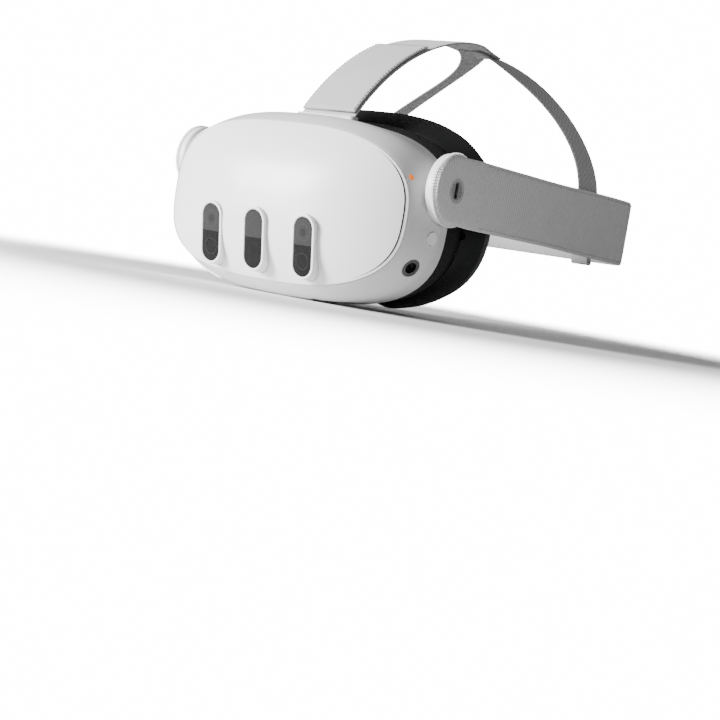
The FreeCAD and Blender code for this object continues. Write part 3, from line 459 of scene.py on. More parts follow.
def window_glass(centre, cameras):
    """A dark pane round one pill's centre; cameras are heights of lens rings in millimetres."""
    made = Finish("tinted_pane_%d" % round(centre.x / MM), grey(40), 0.09, IOR=1.45,
                  Specular_IOR_Level=0.22, Coat_Weight=0.05)
    mapping = made.node("Mapping")
    mapping.inputs["Location"].default_value = -centre
    made.link(made.where.outputs["Object"], mapping.inputs["Vector"])
    parts = made.node("SeparateXYZ")
    made.link(mapping.outputs["Vector"], parts.inputs["Vector"])
    upper = made.maths("GREATER_THAN", parts.outputs["Z"], SPLIT_RISE * MM)
    level = made.maths("MULTIPLY", upper, UPPER_LEVEL)
    sideways = made.maths("MULTIPLY", parts.outputs["X"], parts.outputs["X"])
    for height in cameras:
        rise = made.maths("SUBTRACT", parts.outputs["Z"], height * MM)
        distance = made.maths("SQRT", made.maths("ADD", made.maths("MULTIPLY", rise, rise), sideways))
        off_ring = made.maths("ABSOLUTE", made.maths("SUBTRACT", distance, LENS_RING * MM))
        ring = made.maths("LESS_THAN", off_ring, LENS_LINE * MM)
        pupil = made.maths("LESS_THAN", distance, LENS_PUPIL * MM)
        level = made.maths("ADD", level, made.maths("MULTIPLY", ring, LINE_LEVEL))
        level = made.maths("SUBTRACT", level, made.maths("MULTIPLY", pupil, PUPIL_LEVEL))
    made.tint(level, grey(16), grey(62))
    made.spread(made.noise(300, 2), 0.05, 0.1, "Roughness")
    return made.material


print("panes split", SPLIT_RISE, "mm above the middle, lens rings", LENS_RING, "mm")

# %% [markdown]
# The helpers below turn rows of points into smooth meshes. A row is one outline; faces join each row to
# the next. Every piece gets a UV map in metres, and has its faces turned outward before it is used.


# %% Mesh helpers
RING_POINTS = 160
NOSE_FLAT, NOSE_SLOPE = 7.0, 27.0
SHARP_ANGLE = math.radians(32)


def finish_mesh(name, points, faces, uvs=None, material=None):
    """A mesh object at the origin, smooth, with outward faces and a UV map in metres."""
    mesh = bpy.data.meshes.new(name)
    mesh.from_pydata(points, [], faces)
    mesh.update()
    layer = mesh.uv_layers.new(name="cloth")
    for loop in mesh.loops:
        point = points[loop.vertex_index]
        layer.data[loop.index].uv = uvs[loop.vertex_index] if uvs else (point[0], point[2])
    piece = bpy.data.objects.new(name, mesh)
    bpy.context.scene.collection.objects.link(piece)
    edit = bmesh.new()
    edit.from_mesh(mesh)
    bmesh.ops.remove_doubles(edit, verts=edit.verts, dist=1e-6)
    bmesh.ops.recalc_face_normals(edit, faces=edit.faces)
    edit.to_mesh(mesh)
    edit.free()
    mesh.shade_smooth()
    if material:
        mesh.materials.append(material)
    return piece


def quads(row_count, count, closed, base=0):
    """Faces between rows of points that each go round; base is the first point's number."""
    faces = []
    for row in range(row_count if closed else row_count - 1):
        below, above = base + row * count, base + (row + 1) % row_count * count
        for step in range(count):
            after = (step + 1) % count
            faces.append((below + step, below + after, above + after, above + step))
    return faces


def rows_to_mesh(name, rows, material, closed=False, cap=False, uvs=None):
    """Quads between rows of points; closed joins the last row to the first, cap fills both ends."""
    count = len(rows[0])
    points = [point for row in rows for point in row]
    faces = quads(len(rows), count, closed)
    if cap:
        faces.append(list(range(count)))
        faces.append([(len(rows) - 1) * count + step for step in range(count)])
    return finish_mesh(name, points, faces, uvs, material)


def signed_power(value, power):
    """A power of a number's size that keeps its sign."""
    return math.copysign(abs(value) ** power, value)


def ease(value):
    """A smooth step from 0 to 1."""
    value = min(max(value, 0.0), 1.0)
    return value * value * (3 - 2 * value)


def outline(half_width, half_height, power, depth, middle, lift=0.0):
    """A super-ellipse seen from the front; lift raises its lower edge over the nose."""
    row = []
    for angle in circle_angles(RING_POINTS):
        cosine, sine = math.cos(angle), math.sin(angle)
        x = half_width * signed_power(cosine, 2 / power)
        z = half_height * signed_power(sine, 2 / power)
        if sine < 0 and lift:
            z += lift * ease(1 - (abs(x) - NOSE_FLAT) / NOSE_SLOPE) * min(1.0, -2 * sine)
        row.append(about_pivot(x, depth(x), middle + z))
    return row


def apply_modifiers(piece):
    """Bake a piece's modifiers into its mesh."""
    graph = bpy.context.evaluated_depsgraph_get()
    mesh = bpy.data.meshes.new_from_object(piece.evaluated_get(graph))
    piece.modifiers.clear()
    piece.data = mesh


def cut_with(piece, cutters):
    """Take closed cutters out of a piece, then shade by angle so the new edges stay crisp."""
    for cutter in cutters:
        step = piece.modifiers.new("cut", "BOOLEAN")
        step.operation = "DIFFERENCE"
        step.solver = "EXACT"
        step.object = cutter
    bpy.context.view_layer.update()
    apply_modifiers(piece)
    for cutter in cutters:
        bpy.data.objects.remove(cutter)
    piece.data.shade_smooth()
    piece.data.set_sharp_from_angle(angle=SHARP_ANGLE)


def triangles(piece):
    """How many triangles a piece has."""
    piece.data.calc_loop_triangles()
    return len(piece.data.loop_triangles)


def settle(piece, body, slot, *nodes):
    """Tell the frame what a piece rides on and the CAD nodes it stands for. The finish slot is not used.

    A piece that crosses a joint has no body of its own, and has its place baked into its mesh after this
    call.
    """
    if body:
        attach(piece, body)
    if nodes:
        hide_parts(*nodes)
    print("%-24s %6d triangles on %s" % (piece.name, triangles(piece), body or "two bodies"))


print("outlines have", RING_POINTS, "points")

# %% [markdown]
# The visor's skin is two mouldings that meet along a thin dark seam: the domed faceplate and the housing
# behind it. Both follow super-ellipses, so rows of points from a formula give a clean surface with no
# facets. The edges roll inwards by a millimetre, which catches the light along the seam.

# %% Visor proportions
VISOR_MIDDLE = -19.2
SEAM_WIDTH, SEAM_HEIGHT, SEAM_WRAP, SEAM_DEPTH = 82.2, 42.5, 7.6, -31.8
RING_WIDTH, RING_HEIGHT, RING_WRAP, RING_DEPTH = 87.0, 49.3, 15.6, -15.8
DOME_FRONT, DOME_POWER, HOUSING_REAR, REAR_TAPER = -45.4, 2.4, 8.0, 1.5
WRAP_POWER, SEAM_POWER, SIDE_POWER, FACE_POWER = 3.8, 2.73, 2.77, 2.6
WALL = 2.0
PILL_LEAN, PILL_GAP, PILL_POINTS = 0.2, 0.15, 64
PILL_PLACES = ((32.6, -42.9), (0.0, -44.9), (-32.6, -42.9))
PILL_MIDDLE, PILL_HALF_WIDTH, PILL_HALF_HEIGHT, PILL_RIM = -41.35, 6.2, 15.4, 1.5


def seam_wrap(x):
    """How far the seam has wrapped back at a place across the visor."""
    return SEAM_WRAP * (abs(x) / SEAM_WIDTH) ** WRAP_POWER


def ring_depth(x):
    """Depth of the housing's widest ring."""
    return RING_DEPTH + RING_WRAP * (abs(x) / RING_WIDTH) ** 2


def dome_row(part, inset=0.0, back=0.0):
    """An outline of the dome, at a part of the way out to the seam."""
    rise = SEAM_DEPTH - DOME_FRONT
    base = DOME_FRONT + rise * part ** DOME_POWER + inset + back
    return outline((SEAM_WIDTH - inset) * part, (SEAM_HEIGHT - inset) * part, SEAM_POWER,
                   lambda x: base + seam_wrap(x), VISOR_MIDDLE)


def side_row(travel, inset=0.0, gap=0.0):
    """An outline of the housing: 0 at the seam, 1 at the widest ring, 2 at the rear edge."""
    swell = math.sin(min(travel, 1.0) * math.pi / 2)
    half_width = SEAM_WIDTH + swell * (RING_WIDTH - SEAM_WIDTH) - REAR_TAPER * max(travel - 1, 0) - inset
    half_height = SEAM_HEIGHT + swell * (RING_HEIGHT - SEAM_HEIGHT) - inset

    def depth(x):
        if travel <= 1:
            return (SEAM_DEPTH + seam_wrap(x) + gap) * (1 - travel) + ring_depth(x) * travel
        return ring_depth(x) * (2 - travel) + HOUSING_REAR * (travel - 1)

    return outline(half_width, half_height, SIDE_POWER, depth, VISOR_MIDDLE)


def prism(name, half_width, half_height, x, z, y, axis, sides=48, power=2.0):
    """A closed cutter of rounded section that starts at a place and runs along an axis."""
    rows = []
    start = about_pivot(x, y, z)
    across = axis.orthogonal().normalized()
    other = axis.cross(across).normalized()
    for end in (0, 1):
        row = []
        for angle in circle_angles(sides):
            wide = half_width * signed_power(math.cos(angle), 2 / power)
            high = half_height * signed_power(math.sin(angle), 2 / power)
            row.append(start + axis * end * MM + across * wide * MM + other * high * MM)
        rows.append(row)
    return rows_to_mesh(name, rows, None, cap=True)


def pill_row(x, y, grow):
    """A stadium outline facing front, leaning back at its foot as the dome does."""
    row = []
    half_width, half_height = PILL_HALF_WIDTH + grow, PILL_HALF_HEIGHT + grow
    straight = half_height - half_width
    for step in range(PILL_POINTS):
        angle = 2 * math.pi * (step + 0.5) / PILL_POINTS
        rise = (straight if math.sin(angle) > 0 else -straight) + half_width * math.sin(angle)
        row.append(about_pivot(x + half_width * math.cos(angle), y - PILL_LEAN * rise, PILL_MIDDLE + rise))
    return row


print("visor", 2 * RING_WIDTH, "mm wide and", 2 * RING_HEIGHT, "mm high, with", len(PILL_PLACES), "pills")

# %% [markdown]
# The faceplate is the domed front. Its outlines grow from the middle and step back by a power of their
# size, which keeps the front nearly flat and turns it down near the edge. The three pill openings are
# cut with closed cutters, because that is simpler than planning them into the net of faces.

# %% Faceplate
DOME_STEPS = 22
edge_rows = [dome_row(step / DOME_STEPS) for step in range(1, DOME_STEPS)]
edge_rows += [dome_row(0.985), dome_row(0.995), dome_row(1.0, 0.25, 0.15), dome_row(1.0, 0.7, 1.1),
              dome_row(1.0, 1.9, 1.6)]
inner_rows = [dome_row(part, WALL, 0.3) for part in (0.95, 0.85, 0.7, 0.5, 0.3, 0.1)]
# Its white is painted a little lighter than the bezels', as painted light.
faceplate = rows_to_mesh("faceplate_shell", edge_rows + inner_rows, WHITE_FACE_PAINTED_LIGHT, cap=True)
cutters = [rows_to_mesh("pill_cutter", [pill_row(x, y + end, PILL_RIM + PILL_GAP) for end in (-6, 18)],
                        None, cap=True)
           for x, y in PILL_PLACES]
cut_with(faceplate, cutters)
settle(faceplate, "visor", "white_shell", "faceplate")

# %% [markdown]
# The housing is the white band behind the faceplate. Outlines run back along its outside and forward again
# along its inside, so it is one closed shell. The holes for the button, the light, the wheel, the rocker,
# the side cameras and the hubs are cut with rounded prisms.

# %% Housing
SIDE_STEPS = 14
SIDE_CAMERA_AXIS = Vector((0.80, -0.30, -0.52)).normalized()
outer_rows = [side_row(0, 1.8, 1.6), side_row(0, 0.6, 1.1), side_row(0, 0.12, 0.65)]
outer_rows += [side_row(step / SIDE_STEPS, 0, 0.5) for step in range(1, 2 * SIDE_STEPS)]
outer_rows += [side_row(2, 0.3), side_row(2, WALL)]
inner_rows = [side_row(travel, WALL, 1.6) for travel in (1.6, 1.2, 0.9, 0.6, 0.3)]
# The housing's white is painted darker than the faceplate's, as painted shade.
housing = rows_to_mesh("housing_shell", outer_rows + inner_rows, WHITE_HOUSING_PAINTED_SHADE, closed=True)
# Each cutter is a half width, a half height, a place across, a height, a depth and a run.
cutters = [prism("power_cutter", 3.75, 3.75, 78, -26.5, -6, Vector((12, 0, 0))),
           prism("status_cutter", 1.3, 1.3, 74, 2.5, -22, Vector((14, 0, 0))),
           prism("wheel_cutter", 10.0, 3.8, 30.4, -76, -10, Vector((0, 0, 14)), power=8),
           prism("rocker_cutter", 13.3, 3.3, -56, -74, -14, Vector((0, 0, 24)), power=4)]
for side in (-1, 1):
    axis = Vector((side * SIDE_CAMERA_AXIS.x, SIDE_CAMERA_AXIS.y, SIDE_CAMERA_AXIS.z))
    cutters.append(prism("camera_cutter", 5.25, 5.25, side * 70, -36, -8, axis * 26))
    cutters.append(prism("disc_cutter", 19.3, 19.3, side * 86.0, 0, 0, Vector((side * 8, 0, 0)), 96))
    cutters.append(prism("pin_cutter", 7.1, 7.1, side * 76, 0, 0, Vector((side * 16, 0, 0))))
cut_with(housing, cutters)
settle(housing, "visor", "white_shell", "front_housing")

# %% [markdown]
# A dark gasket fills the gap between the two mouldings. Only its front edge shows, so a plain ring with a
# four-cornered section is enough.

# %% Seam gasket
GASKET_PROFILE = ((1.5, -0.8), (1.5, 2.4), (2.6, 2.4), (2.6, -0.8))
gasket = rows_to_mesh("seam_gasket", [side_row(0, inset, gap) for inset, gap in GASKET_PROFILE], SEAM,
                      closed=True)
settle(gasket, "visor", "black_shell")

# %% [markdown]
# Each sensor pill is a thin white bezel that stands straight out of the dome, with a dark pane sunk a
# third of a millimetre. The bezel's outer lip is rounded over three small rows.

# %% Sensor pills
BEZEL_PROFILE = ((11.5, PILL_RIM), (0.5, PILL_RIM), (0.2, 1.4), (0.05, 1.2), (0, 0.9), (0, 0.3),
                 (0.12, 0.05), (1.6, 0.0), (11.5, 0.0))
PANE_PROFILE = ((1.7, -0.04), (0.5, -0.04), (0.35, -0.12), (0.3, -0.3), (0.3, -3.0))
LENS_RISE = 7.4
bezel_points, bezel_faces = [], []
for x, y in PILL_PLACES:
    bezel_faces += quads(len(BEZEL_PROFILE), PILL_POINTS, True, len(bezel_points))
    for back, grow in BEZEL_PROFILE:
        bezel_points += pill_row(x, y + back, grow)
bezels = finish_mesh("pill_rims", bezel_points, bezel_faces, None, WHITE)
settle(bezels, "visor", "white_shell", "pill_bezels")
for name, (x, y) in zip(("left", "centre", "right"), PILL_PLACES):
    rings = (LENS_RISE, -LENS_RISE) if x else ()
    glass = window_glass(about_pivot(x, y, PILL_MIDDLE), rings)
    rows = [pill_row(x, y + back, grow) for back, grow in PANE_PROFILE]
    pane = rows_to_mesh("pane_" + name, rows, glass, cap=True)
    settle(pane, "visor", "window_glass")
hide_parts("pill_windows")

# %% [markdown]
# Behind the housing the black parts step down to the face: the fixed rear shell, the sliding interface
# and the foam cushion. The lower edge of each arches over the nose, so its outline is lifted there.


# %% Rear shell and interface
NOSE_LIFT, FACE_MIDDLE = 32.0, -13
# Each row of a profile is a depth, a half width, a half height, a middle and a lift over the nose.
SHELL_PROFILE = ((8.3, 82.4, 46.4, VISOR_MIDDLE), (8.3, 84.3, 48.3, VISOR_MIDDLE),
                 (8.8, 84.6, 48.6, VISOR_MIDDLE), (17, 83.6, 49.4, -17.8, 6), (25.2, 82.1, 50.1, -16.4, 20),
                 (26, 81.7, 49.7, -16.2, 22), (26, 79.8, 47.8, -16.2, 22), (17, 80.8, 46.8, -17.8, 6))
FRAME_PROFILE = ((14, 78.4, 44.4, -18, 8), (26.6, 78.4, 44.4, -18, 22), (27.2, 81.8, 49.8, -16.4, 24),
                 (28, 82.7, 50.7, -16.2, 24), (33, 85.0, 53.0, -14.8, 28), (38, 86.0, 54.9, -13.8, 30),
                 (43, 86.2, 55.5, FACE_MIDDLE, NOSE_LIFT), (44, 85.4, 54.7, FACE_MIDDLE, NOSE_LIFT),
                 (44, 71, 40.5, FACE_MIDDLE, 25), (41.6, 71, 40.5, FACE_MIDDLE, 25),
                 (41.6, 82, 51.5, FACE_MIDDLE, 30), (34, 82, 50, -14.6, 27), (29.6, 79.4, 47.4, -16.4, 24),
                 (29.6, 76.2, 42.2, -18, 20), (14, 76.2, 42.2, -18, 8))


def face_row(depth, half_width, half_height, middle, lift=0.0):
    """An outline that lies flat at one depth."""
    return outline(half_width, half_height, FACE_POWER, lambda x: depth, middle, lift)


rear_skin = rows_to_mesh("rear_skin", [face_row(*row) for row in SHELL_PROFILE], BLACK, closed=True)
settle(rear_skin, "visor", "black_shell", "rear_shell")
interface = rows_to_mesh("interface_skin", [face_row(*row) for row in FRAME_PROFILE], BLACK, closed=True)
cut_with(interface, [prism("button_cutter", 5.3, 8.3, side * 60, VISOR_MIDDLE, 20.5,
                           Vector((side * 40, 0, 0)), power=6) for side in (-1, 1)])
settle(interface, "interface", "black_shell", "interface_frame")

# %% [markdown]
# The face cushion is foam under a knitted cover. Its solid is remeshed to an even net and then inflated
# by a short cloth simulation with gravity off, so it swells between the frame and the face as foam does.
# How far a point may move is capped, which keeps it in the room that the frame leaves. The piping round
# its front edge is added afterwards, because the net is too coarse to hold a thin cord.

# %% Face cushion
SWELL_CAP, SWELL_FRAMES, SWELL_PRESSURE = 2.2 * MM, 14, 4.0
CUSHION_NET = 2.6 * MM
PIPING_RADIUS, PIPING_SIDES = 0.8, 8
PAD_PROFILE = ((45.2, 84.3, 53.8, FACE_MIDDLE, NOSE_LIFT), (50, 84.4, 54, FACE_MIDDLE, NOSE_LIFT),
               (55, 82.2, 52.2, FACE_MIDDLE, NOSE_LIFT), (58, 78.5, 49.4, FACE_MIDDLE, 30),
               (58.2, 74, 45.2, FACE_MIDDLE, 29), (55, 70, 41, FACE_MIDDLE, 27),
               (50, 69, 39.6, FACE_MIDDLE, 25), (45.2, 70, 40.4, FACE_MIDDLE, 25))


def puff(piece):
    """Remesh a closed pad, inflate it as cloth, cap the swelling and smooth the result."""
    net = piece.modifiers.new("net", "REMESH")
    net.mode = "VOXEL"
    net.voxel_size = CUSHION_NET
    bpy.context.view_layer.update()
    apply_modifiers(piece)
    start = [vertex.co.copy() for vertex in piece.data.vertices]
    cloth = piece.modifiers.new("cloth", "CLOTH")
    cloth.settings.use_pressure = True
    cloth.settings.uniform_pressure_force = SWELL_PRESSURE
    cloth.settings.effector_weights.gravity = 0
    cloth.settings.quality = 5
    scene = bpy.context.scene
    for number in range(1, SWELL_FRAMES + 1):
        scene.frame_set(number)
    apply_modifiers(piece)
    scene.frame_set(1)
    for vertex, rest in zip(piece.data.vertices, start):
        move = vertex.co - rest
        if move.length > SWELL_CAP:
            vertex.co = rest + move.normalized() * SWELL_CAP


def box_uv(piece):
    """Cloth UVs in metres: each face drops the axis that it faces most."""
    mesh = piece.data
    layer = mesh.uv_layers.get("cloth") or mesh.uv_layers.new(name="cloth")
    for polygon in mesh.polygons:
        facing = max(range(3), key=lambda axis: abs(polygon.normal[axis]))
        first, second = [axis for axis in range(3) if axis != facing]
        for index in polygon.loop_indices:
            place = mesh.vertices[mesh.loops[index].vertex_index].co
            layer.data[index].uv = (place[first], place[second])


cushion = rows_to_mesh("cushion_pad", [face_row(*row) for row in PAD_PROFILE], KNIT, closed=True)
puff(cushion)
smooth = cushion.modifiers.new("smooth", "SMOOTH")
smooth.iterations = 3
bpy.context.view_layer.update()
apply_modifiers(cushion)
cushion.data.shade_smooth()
box_uv(cushion)
if not cushion.data.materials:
    cushion.data.materials.append(KNIT)
settle(cushion, "interface", "foam", "face_cushion")


# %% [markdown]
# A thin covered cord is sewn round the cushion's front edge. It is a row of small circles that follow the
# interface's outline, each turned square to the way the cord runs.


# %% Cushion piping
def cord_round(name, path, material):
    """A round cord through a closed row of points, with UVs along it."""
    rows, uvs, travelled = [], [], 0.0
    for number, point in enumerate(path):
        before, after = path[number - 1], path[(number + 1) % len(path)]
        run = (after - before).normalized()
        side = run.cross(Vector((0, 1, 0))).normalized()
        other = run.cross(side).normalized()
        travelled += (point - before).length
        row = []
        for angle in circle_angles(PIPING_SIDES):
            row.append(point + (side * math.cos(angle) + other * math.sin(angle)) * PIPING_RADIUS * MM)
            uvs.append((travelled, angle * PIPING_RADIUS * MM))
        rows.append(row)
    return rows_to_mesh(name, rows, material, closed=True, uvs=uvs)


piping = cord_round("cushion_piping", face_row(45.0, 85.0, 54.5, FACE_MIDDLE, NOSE_LIFT), KNIT)
settle(piping, "interface", "foam")

# %% [markdown]
# A thin silicone flap fills the space between the nose and the interface. It is a short curved apron,
# made as a sheet of points and given its thickness by a Solidify modifier.

# %% Nose flap
FLAP_STEPS, FLAP_SIDES, FLAP_SPREAD = 8, 32, 78
FLAP_HALF_WIDTH, FLAP_ARCH, FLAP_FOOT, FLAP_DROP = 19, 15.5, -51.5, 3
FLAP_FRONT, FLAP_RUN, FLAP_SAG, FLAP_WALL = 29, 11, 2, 1.0
points = []
for step in range(FLAP_STEPS + 1):
    part = step / FLAP_STEPS
    depth = FLAP_FRONT + FLAP_RUN * part + FLAP_SAG * math.sin(part * math.pi)
    for side in range(FLAP_SIDES + 1):
        angle = math.radians(-FLAP_SPREAD + 2 * FLAP_SPREAD * side / FLAP_SIDES)
        height = FLAP_FOOT + FLAP_ARCH * math.cos(angle) - FLAP_DROP * part
        points.append(about_pivot(FLAP_HALF_WIDTH * math.sin(angle), depth, height))
faces = []
for row in range(FLAP_STEPS):
    below, above = row * (FLAP_SIDES + 1), (row + 1) * (FLAP_SIDES + 1)
    faces += [(below + s, below + s + 1, above + s + 1, above + s) for s in range(FLAP_SIDES)]
flap = finish_mesh("nose_apron", points, faces, None, SILICONE)
thick = flap.modifiers.new("thickness", "SOLIDIFY")
thick.thickness = FLAP_WALL * MM
bpy.context.view_layer.update()
apply_modifiers(flap)
settle(flap, "interface", "soft_rubber", "nose_flap")

# %% [markdown]
# Two things on the headset repeat many times: the teeth round the hubs and the stitches. Geometry Nodes
# make both. Each tree has named inputs and ends by making its instances real and painting them, so these
# two steps and the running of a tree are helpers.


# %% Tree helpers
def open_tree(name, **sockets):
    """A new tree with its named inputs, and the node that holds them."""
    tree = bpy.data.node_groups.new(name, "GeometryNodeTree")
    tree.interface.new_socket("Geometry", in_out="OUTPUT", socket_type="NodeSocketGeometry")
    for label, kind in sockets.items():
        tree.interface.new_socket(label, in_out="INPUT", socket_type="NodeSocket" + kind)
    return tree, tree.nodes.new("NodeGroupInput")


def close_tree(tree, given, instances):
    """Make instances real, paint them with the Finish input and send them out."""
    real = tree.nodes.new("GeometryNodeRealizeInstances")
    paint = tree.nodes.new("GeometryNodeSetMaterial")
    result = tree.nodes.new("NodeGroupOutput")
    tree.links.new(instances.outputs[0], real.inputs[0])
    tree.links.new(real.outputs[0], paint.inputs["Geometry"])
    tree.links.new(given.outputs["Finish"], paint.inputs["Material"])
    tree.links.new(paint.outputs[0], result.inputs[0])
    return tree


def grown(name, source, tree, values):
    """Run a tree once on a mesh or a curve and keep the result as a plain mesh."""
    start = bpy.data.objects.new(name, source)
    bpy.context.scene.collection.objects.link(start)
    step = start.modifiers.new("grow", "NODES")
    step.node_group = tree
    for item in tree.interface.items_tree:
        if item.in_out == "INPUT" and item.name in values:
            step[item.identifier] = values[item.name]
    bpy.context.view_layer.update()
    graph = bpy.context.evaluated_depsgraph_get()
    mesh = bpy.data.meshes.new_from_object(start.evaluated_get(graph))
    bpy.data.objects.remove(start)
    piece = bpy.data.objects.new(name, mesh)
    bpy.context.scene.collection.objects.link(piece)
    return piece


print("tree helpers ready")

# %% [markdown]
# Each strap arm starts in a round white hub whose face the strap's fabric covers, leaving a rim with fine
# teeth round its edge. The teeth are one Geometry Nodes tree: a circle of points, a small bar on each,
# realised and given the hub's finish.


# %% Rib tree
def rib_tree():
    """Bars round a circle: count, radius, bar size, as one mesh."""
    tree, given = open_tree("hub_ribs", Count="Int", Radius="Float", Bar="Vector", Finish="Material")
    circle = tree.nodes.new("GeometryNodeMeshCircle")
    bar = tree.nodes.new("GeometryNodeMeshCube")
    on_points = tree.nodes.new("GeometryNodeInstanceOnPoints")
    index = tree.nodes.new("GeometryNodeInputIndex")
    share, angle = tree.nodes.new("ShaderNodeMath"), tree.nodes.new("ShaderNodeMath")
    spin = tree.nodes.new("ShaderNodeCombineXYZ")
    share.operation, angle.operation = "DIVIDE", "MULTIPLY"
    angle.inputs[1].default_value = 2 * math.pi
    wire = tree.links.new
    wire(given.outputs["Count"], circle.inputs["Vertices"])
    wire(given.outputs["Radius"], circle.inputs["Radius"])
    wire(given.outputs["Bar"], bar.inputs["Size"])
    wire(index.outputs[0], share.inputs[0])
    wire(given.outputs["Count"], share.inputs[1])
    wire(share.outputs[0], angle.inputs[0])
    wire(angle.outputs[0], spin.inputs["Z"])
    wire(circle.outputs["Mesh"], on_points.inputs["Points"])
    wire(bar.outputs["Mesh"], on_points.inputs["Instance"])
    wire(spin.outputs[0], on_points.inputs["Rotation"])
    return close_tree(tree, given, on_points)


RIBS = rib_tree()
print("rib tree has", len(RIBS.nodes), "nodes")

# %% Hubs
SIDES = (("left", 1), ("right", -1))
HUB_SIDES, HUB_RIBS, RIB_RADIUS, RIB_OUT = 96, 76, 18.1, 90.4
RIB_BAR = (2.4 * MM, 0.75 * MM, 1.5 * MM)
HUB_PROFILE = ((7.3, 85.4), (17.4, 85.4), (18.1, 85.7), (18.5, 86.3), (18.5, 89.2), (18.2, 89.9),
               (17.9, 90.2), (7.3, 90.2))


def hub_shell(name, side):
    """The hub turned about X from its profile of radius and distance out, in millimetres."""
    rows = [[about_pivot(side * out, radius * math.cos(angle), radius * math.sin(angle))
             for angle in circle_angles(HUB_SIDES)] for radius, out in HUB_PROFILE]
    return rows_to_mesh(name, rows, WHITE, closed=True)


for name, side in SIDES:
    hub = hub_shell("hub_" + name, side)
    settle(hub, "strap", "white_shell", "arm_disc_" + name)
    ribs = grown("hub_ribs_" + name, bpy.data.meshes.new("rib_start"), RIBS,
                 {"Count": HUB_RIBS, "Radius": RIB_RADIUS * MM, "Bar": RIB_BAR, "Finish": WHITE})
    across = Matrix.Rotation(math.radians(90), 4, "Y")
    ribs.data.transform(Matrix.Translation(about_pivot(side * RIB_OUT, 0, 0)) @ across)
    settle(ribs, "strap", "white_shell")

# %% [markdown]
# The strap loop is one length of elastic knit that runs from hub to hub round the back of the head. It is
# swept along a plan line of straights and round corners, with a softly rounded section.
# UVs follow the length and the width, so the ribs of the knit stay upright.


# %% Swept straps
SECTION_POINTS, EDGE_POWER, FACE_FLATNESS = 20, 0.25, 0.7


def sweep(name, stations, thick_mm, material):
    """A flat strap through stations of (centre, across unit, out unit, half width in mm)."""
    rows, uvs, travelled, before = [], [], 0.0, stations[0][0]
    for centre, across, out, half in stations:
        travelled += (centre - before).length
        before = centre
        row = []
        for step in range(SECTION_POINTS):
            angle = 2 * math.pi * (step + 0.5) / SECTION_POINTS
            wide = signed_power(math.cos(angle), EDGE_POWER) * half
            high = signed_power(math.sin(angle), FACE_FLATNESS) * thick_mm / 2
            row.append(centre + (across * wide + out * high) * MM)
            uvs.append((travelled, wide * MM))
        rows.append(row)
    return rows_to_mesh(name, rows, material, cap=True, uvs=uvs), travelled


print("strap sections have", SECTION_POINTS, "points")

# %% [markdown]
# The loop's plan line is symmetrical, so only its left half is worked out: the round end on the hub, the
# straight side, the corner and half of the back. The other half is its mirror image.

# %% Loop strap
STRAP_MID, STRAP_THICK = 91.6, 2.4
STRAP_HALF, REAR_HALF, SIDE_END = 18.2, 19.4, 177.0
CORNER, LOOP_REAR, END_RADIUS, END_START = 32.8, 212.2, 17.7, 6
WIDEN_RUN, REAR_WIDEN_START, REAR_WIDEN_RUN = 20, 90, 80
ROUND_STEPS, SIDE_STATIONS, BACK_STATIONS, CLOSEST = 24, 60, 12, 0.3
PORT_RADIUS = 6.5
UP, OUTWARDS, BACKWARDS = Vector((0, 0, 1)), Vector((1, 0, 0)), Vector((0, 1, 0))


def loop_stations():
    """Stations from the left hub, round the back, to the right hub."""
    found = []
    for step in range(ROUND_STEPS + 1):
        angle = math.radians(END_START + (90 - END_START) * step / ROUND_STEPS)
        found.append((about_pivot(STRAP_MID, -END_RADIUS * math.cos(angle), 0), UP, OUTWARDS,
                      END_RADIUS * math.sin(angle)))
    for step in range(1, SIDE_STATIONS):
        y = SIDE_END * step / SIDE_STATIONS
        half = END_RADIUS + (STRAP_HALF - END_RADIUS) * ease(y / WIDEN_RUN)
        half += (REAR_HALF - STRAP_HALF) * ease((y - REAR_WIDEN_START) / REAR_WIDEN_RUN)
        found.append((about_pivot(STRAP_MID, y, 0), UP, OUTWARDS, half))
    corner_x, corner_y = STRAP_MID - CORNER, LOOP_REAR - CORNER
    for step in range(ROUND_STEPS + 1):
        angle = math.radians(90 * step / ROUND_STEPS)
        out = Vector((math.cos(angle), math.sin(angle), 0))
        centre = about_pivot(corner_x + CORNER * out.x, corner_y + CORNER * out.y, 0)
        found.append((centre, UP, out, REAR_HALF))
    for step in range(1, BACK_STATIONS):
        x = corner_x * (1 - step / BACK_STATIONS)
        found.append((about_pivot(x, LOOP_REAR, 0), UP, BACKWARDS, REAR_HALF))
    mirrored = [(Vector((-centre.x, centre.y, centre.z)), across, Vector((-out.x, out.y, out.z)), half)
                for centre, across, out, half in reversed(found)]
    middle = (about_pivot(0, LOOP_REAR, 0), UP, BACKWARDS, REAR_HALF)
    return found + [middle] + mirrored


def spaced(stations):
    """The same stations without any that sit on the one before."""
    kept = [stations[0]]
    for station in stations[1:]:
        if (station[0] - kept[-1][0]).length > CLOSEST * MM:
            kept.append(station)
    return kept


loop_line = spaced(loop_stations())
loop_strap, loop_length = sweep("loop_strap", loop_line, STRAP_THICK, STRAP_CLOTH)
cut_with(loop_strap, [prism("port_cutter", PORT_RADIUS, PORT_RADIUS, side * 88, 0, 0,
                            Vector((side * 8, 0, 0))) for side in (-1, 1)])
settle(loop_strap, "strap", "strap_fabric", "side_strap_left", "side_strap_right", "rear_band")
print("loop strap length", round(loop_length, 3), "m")
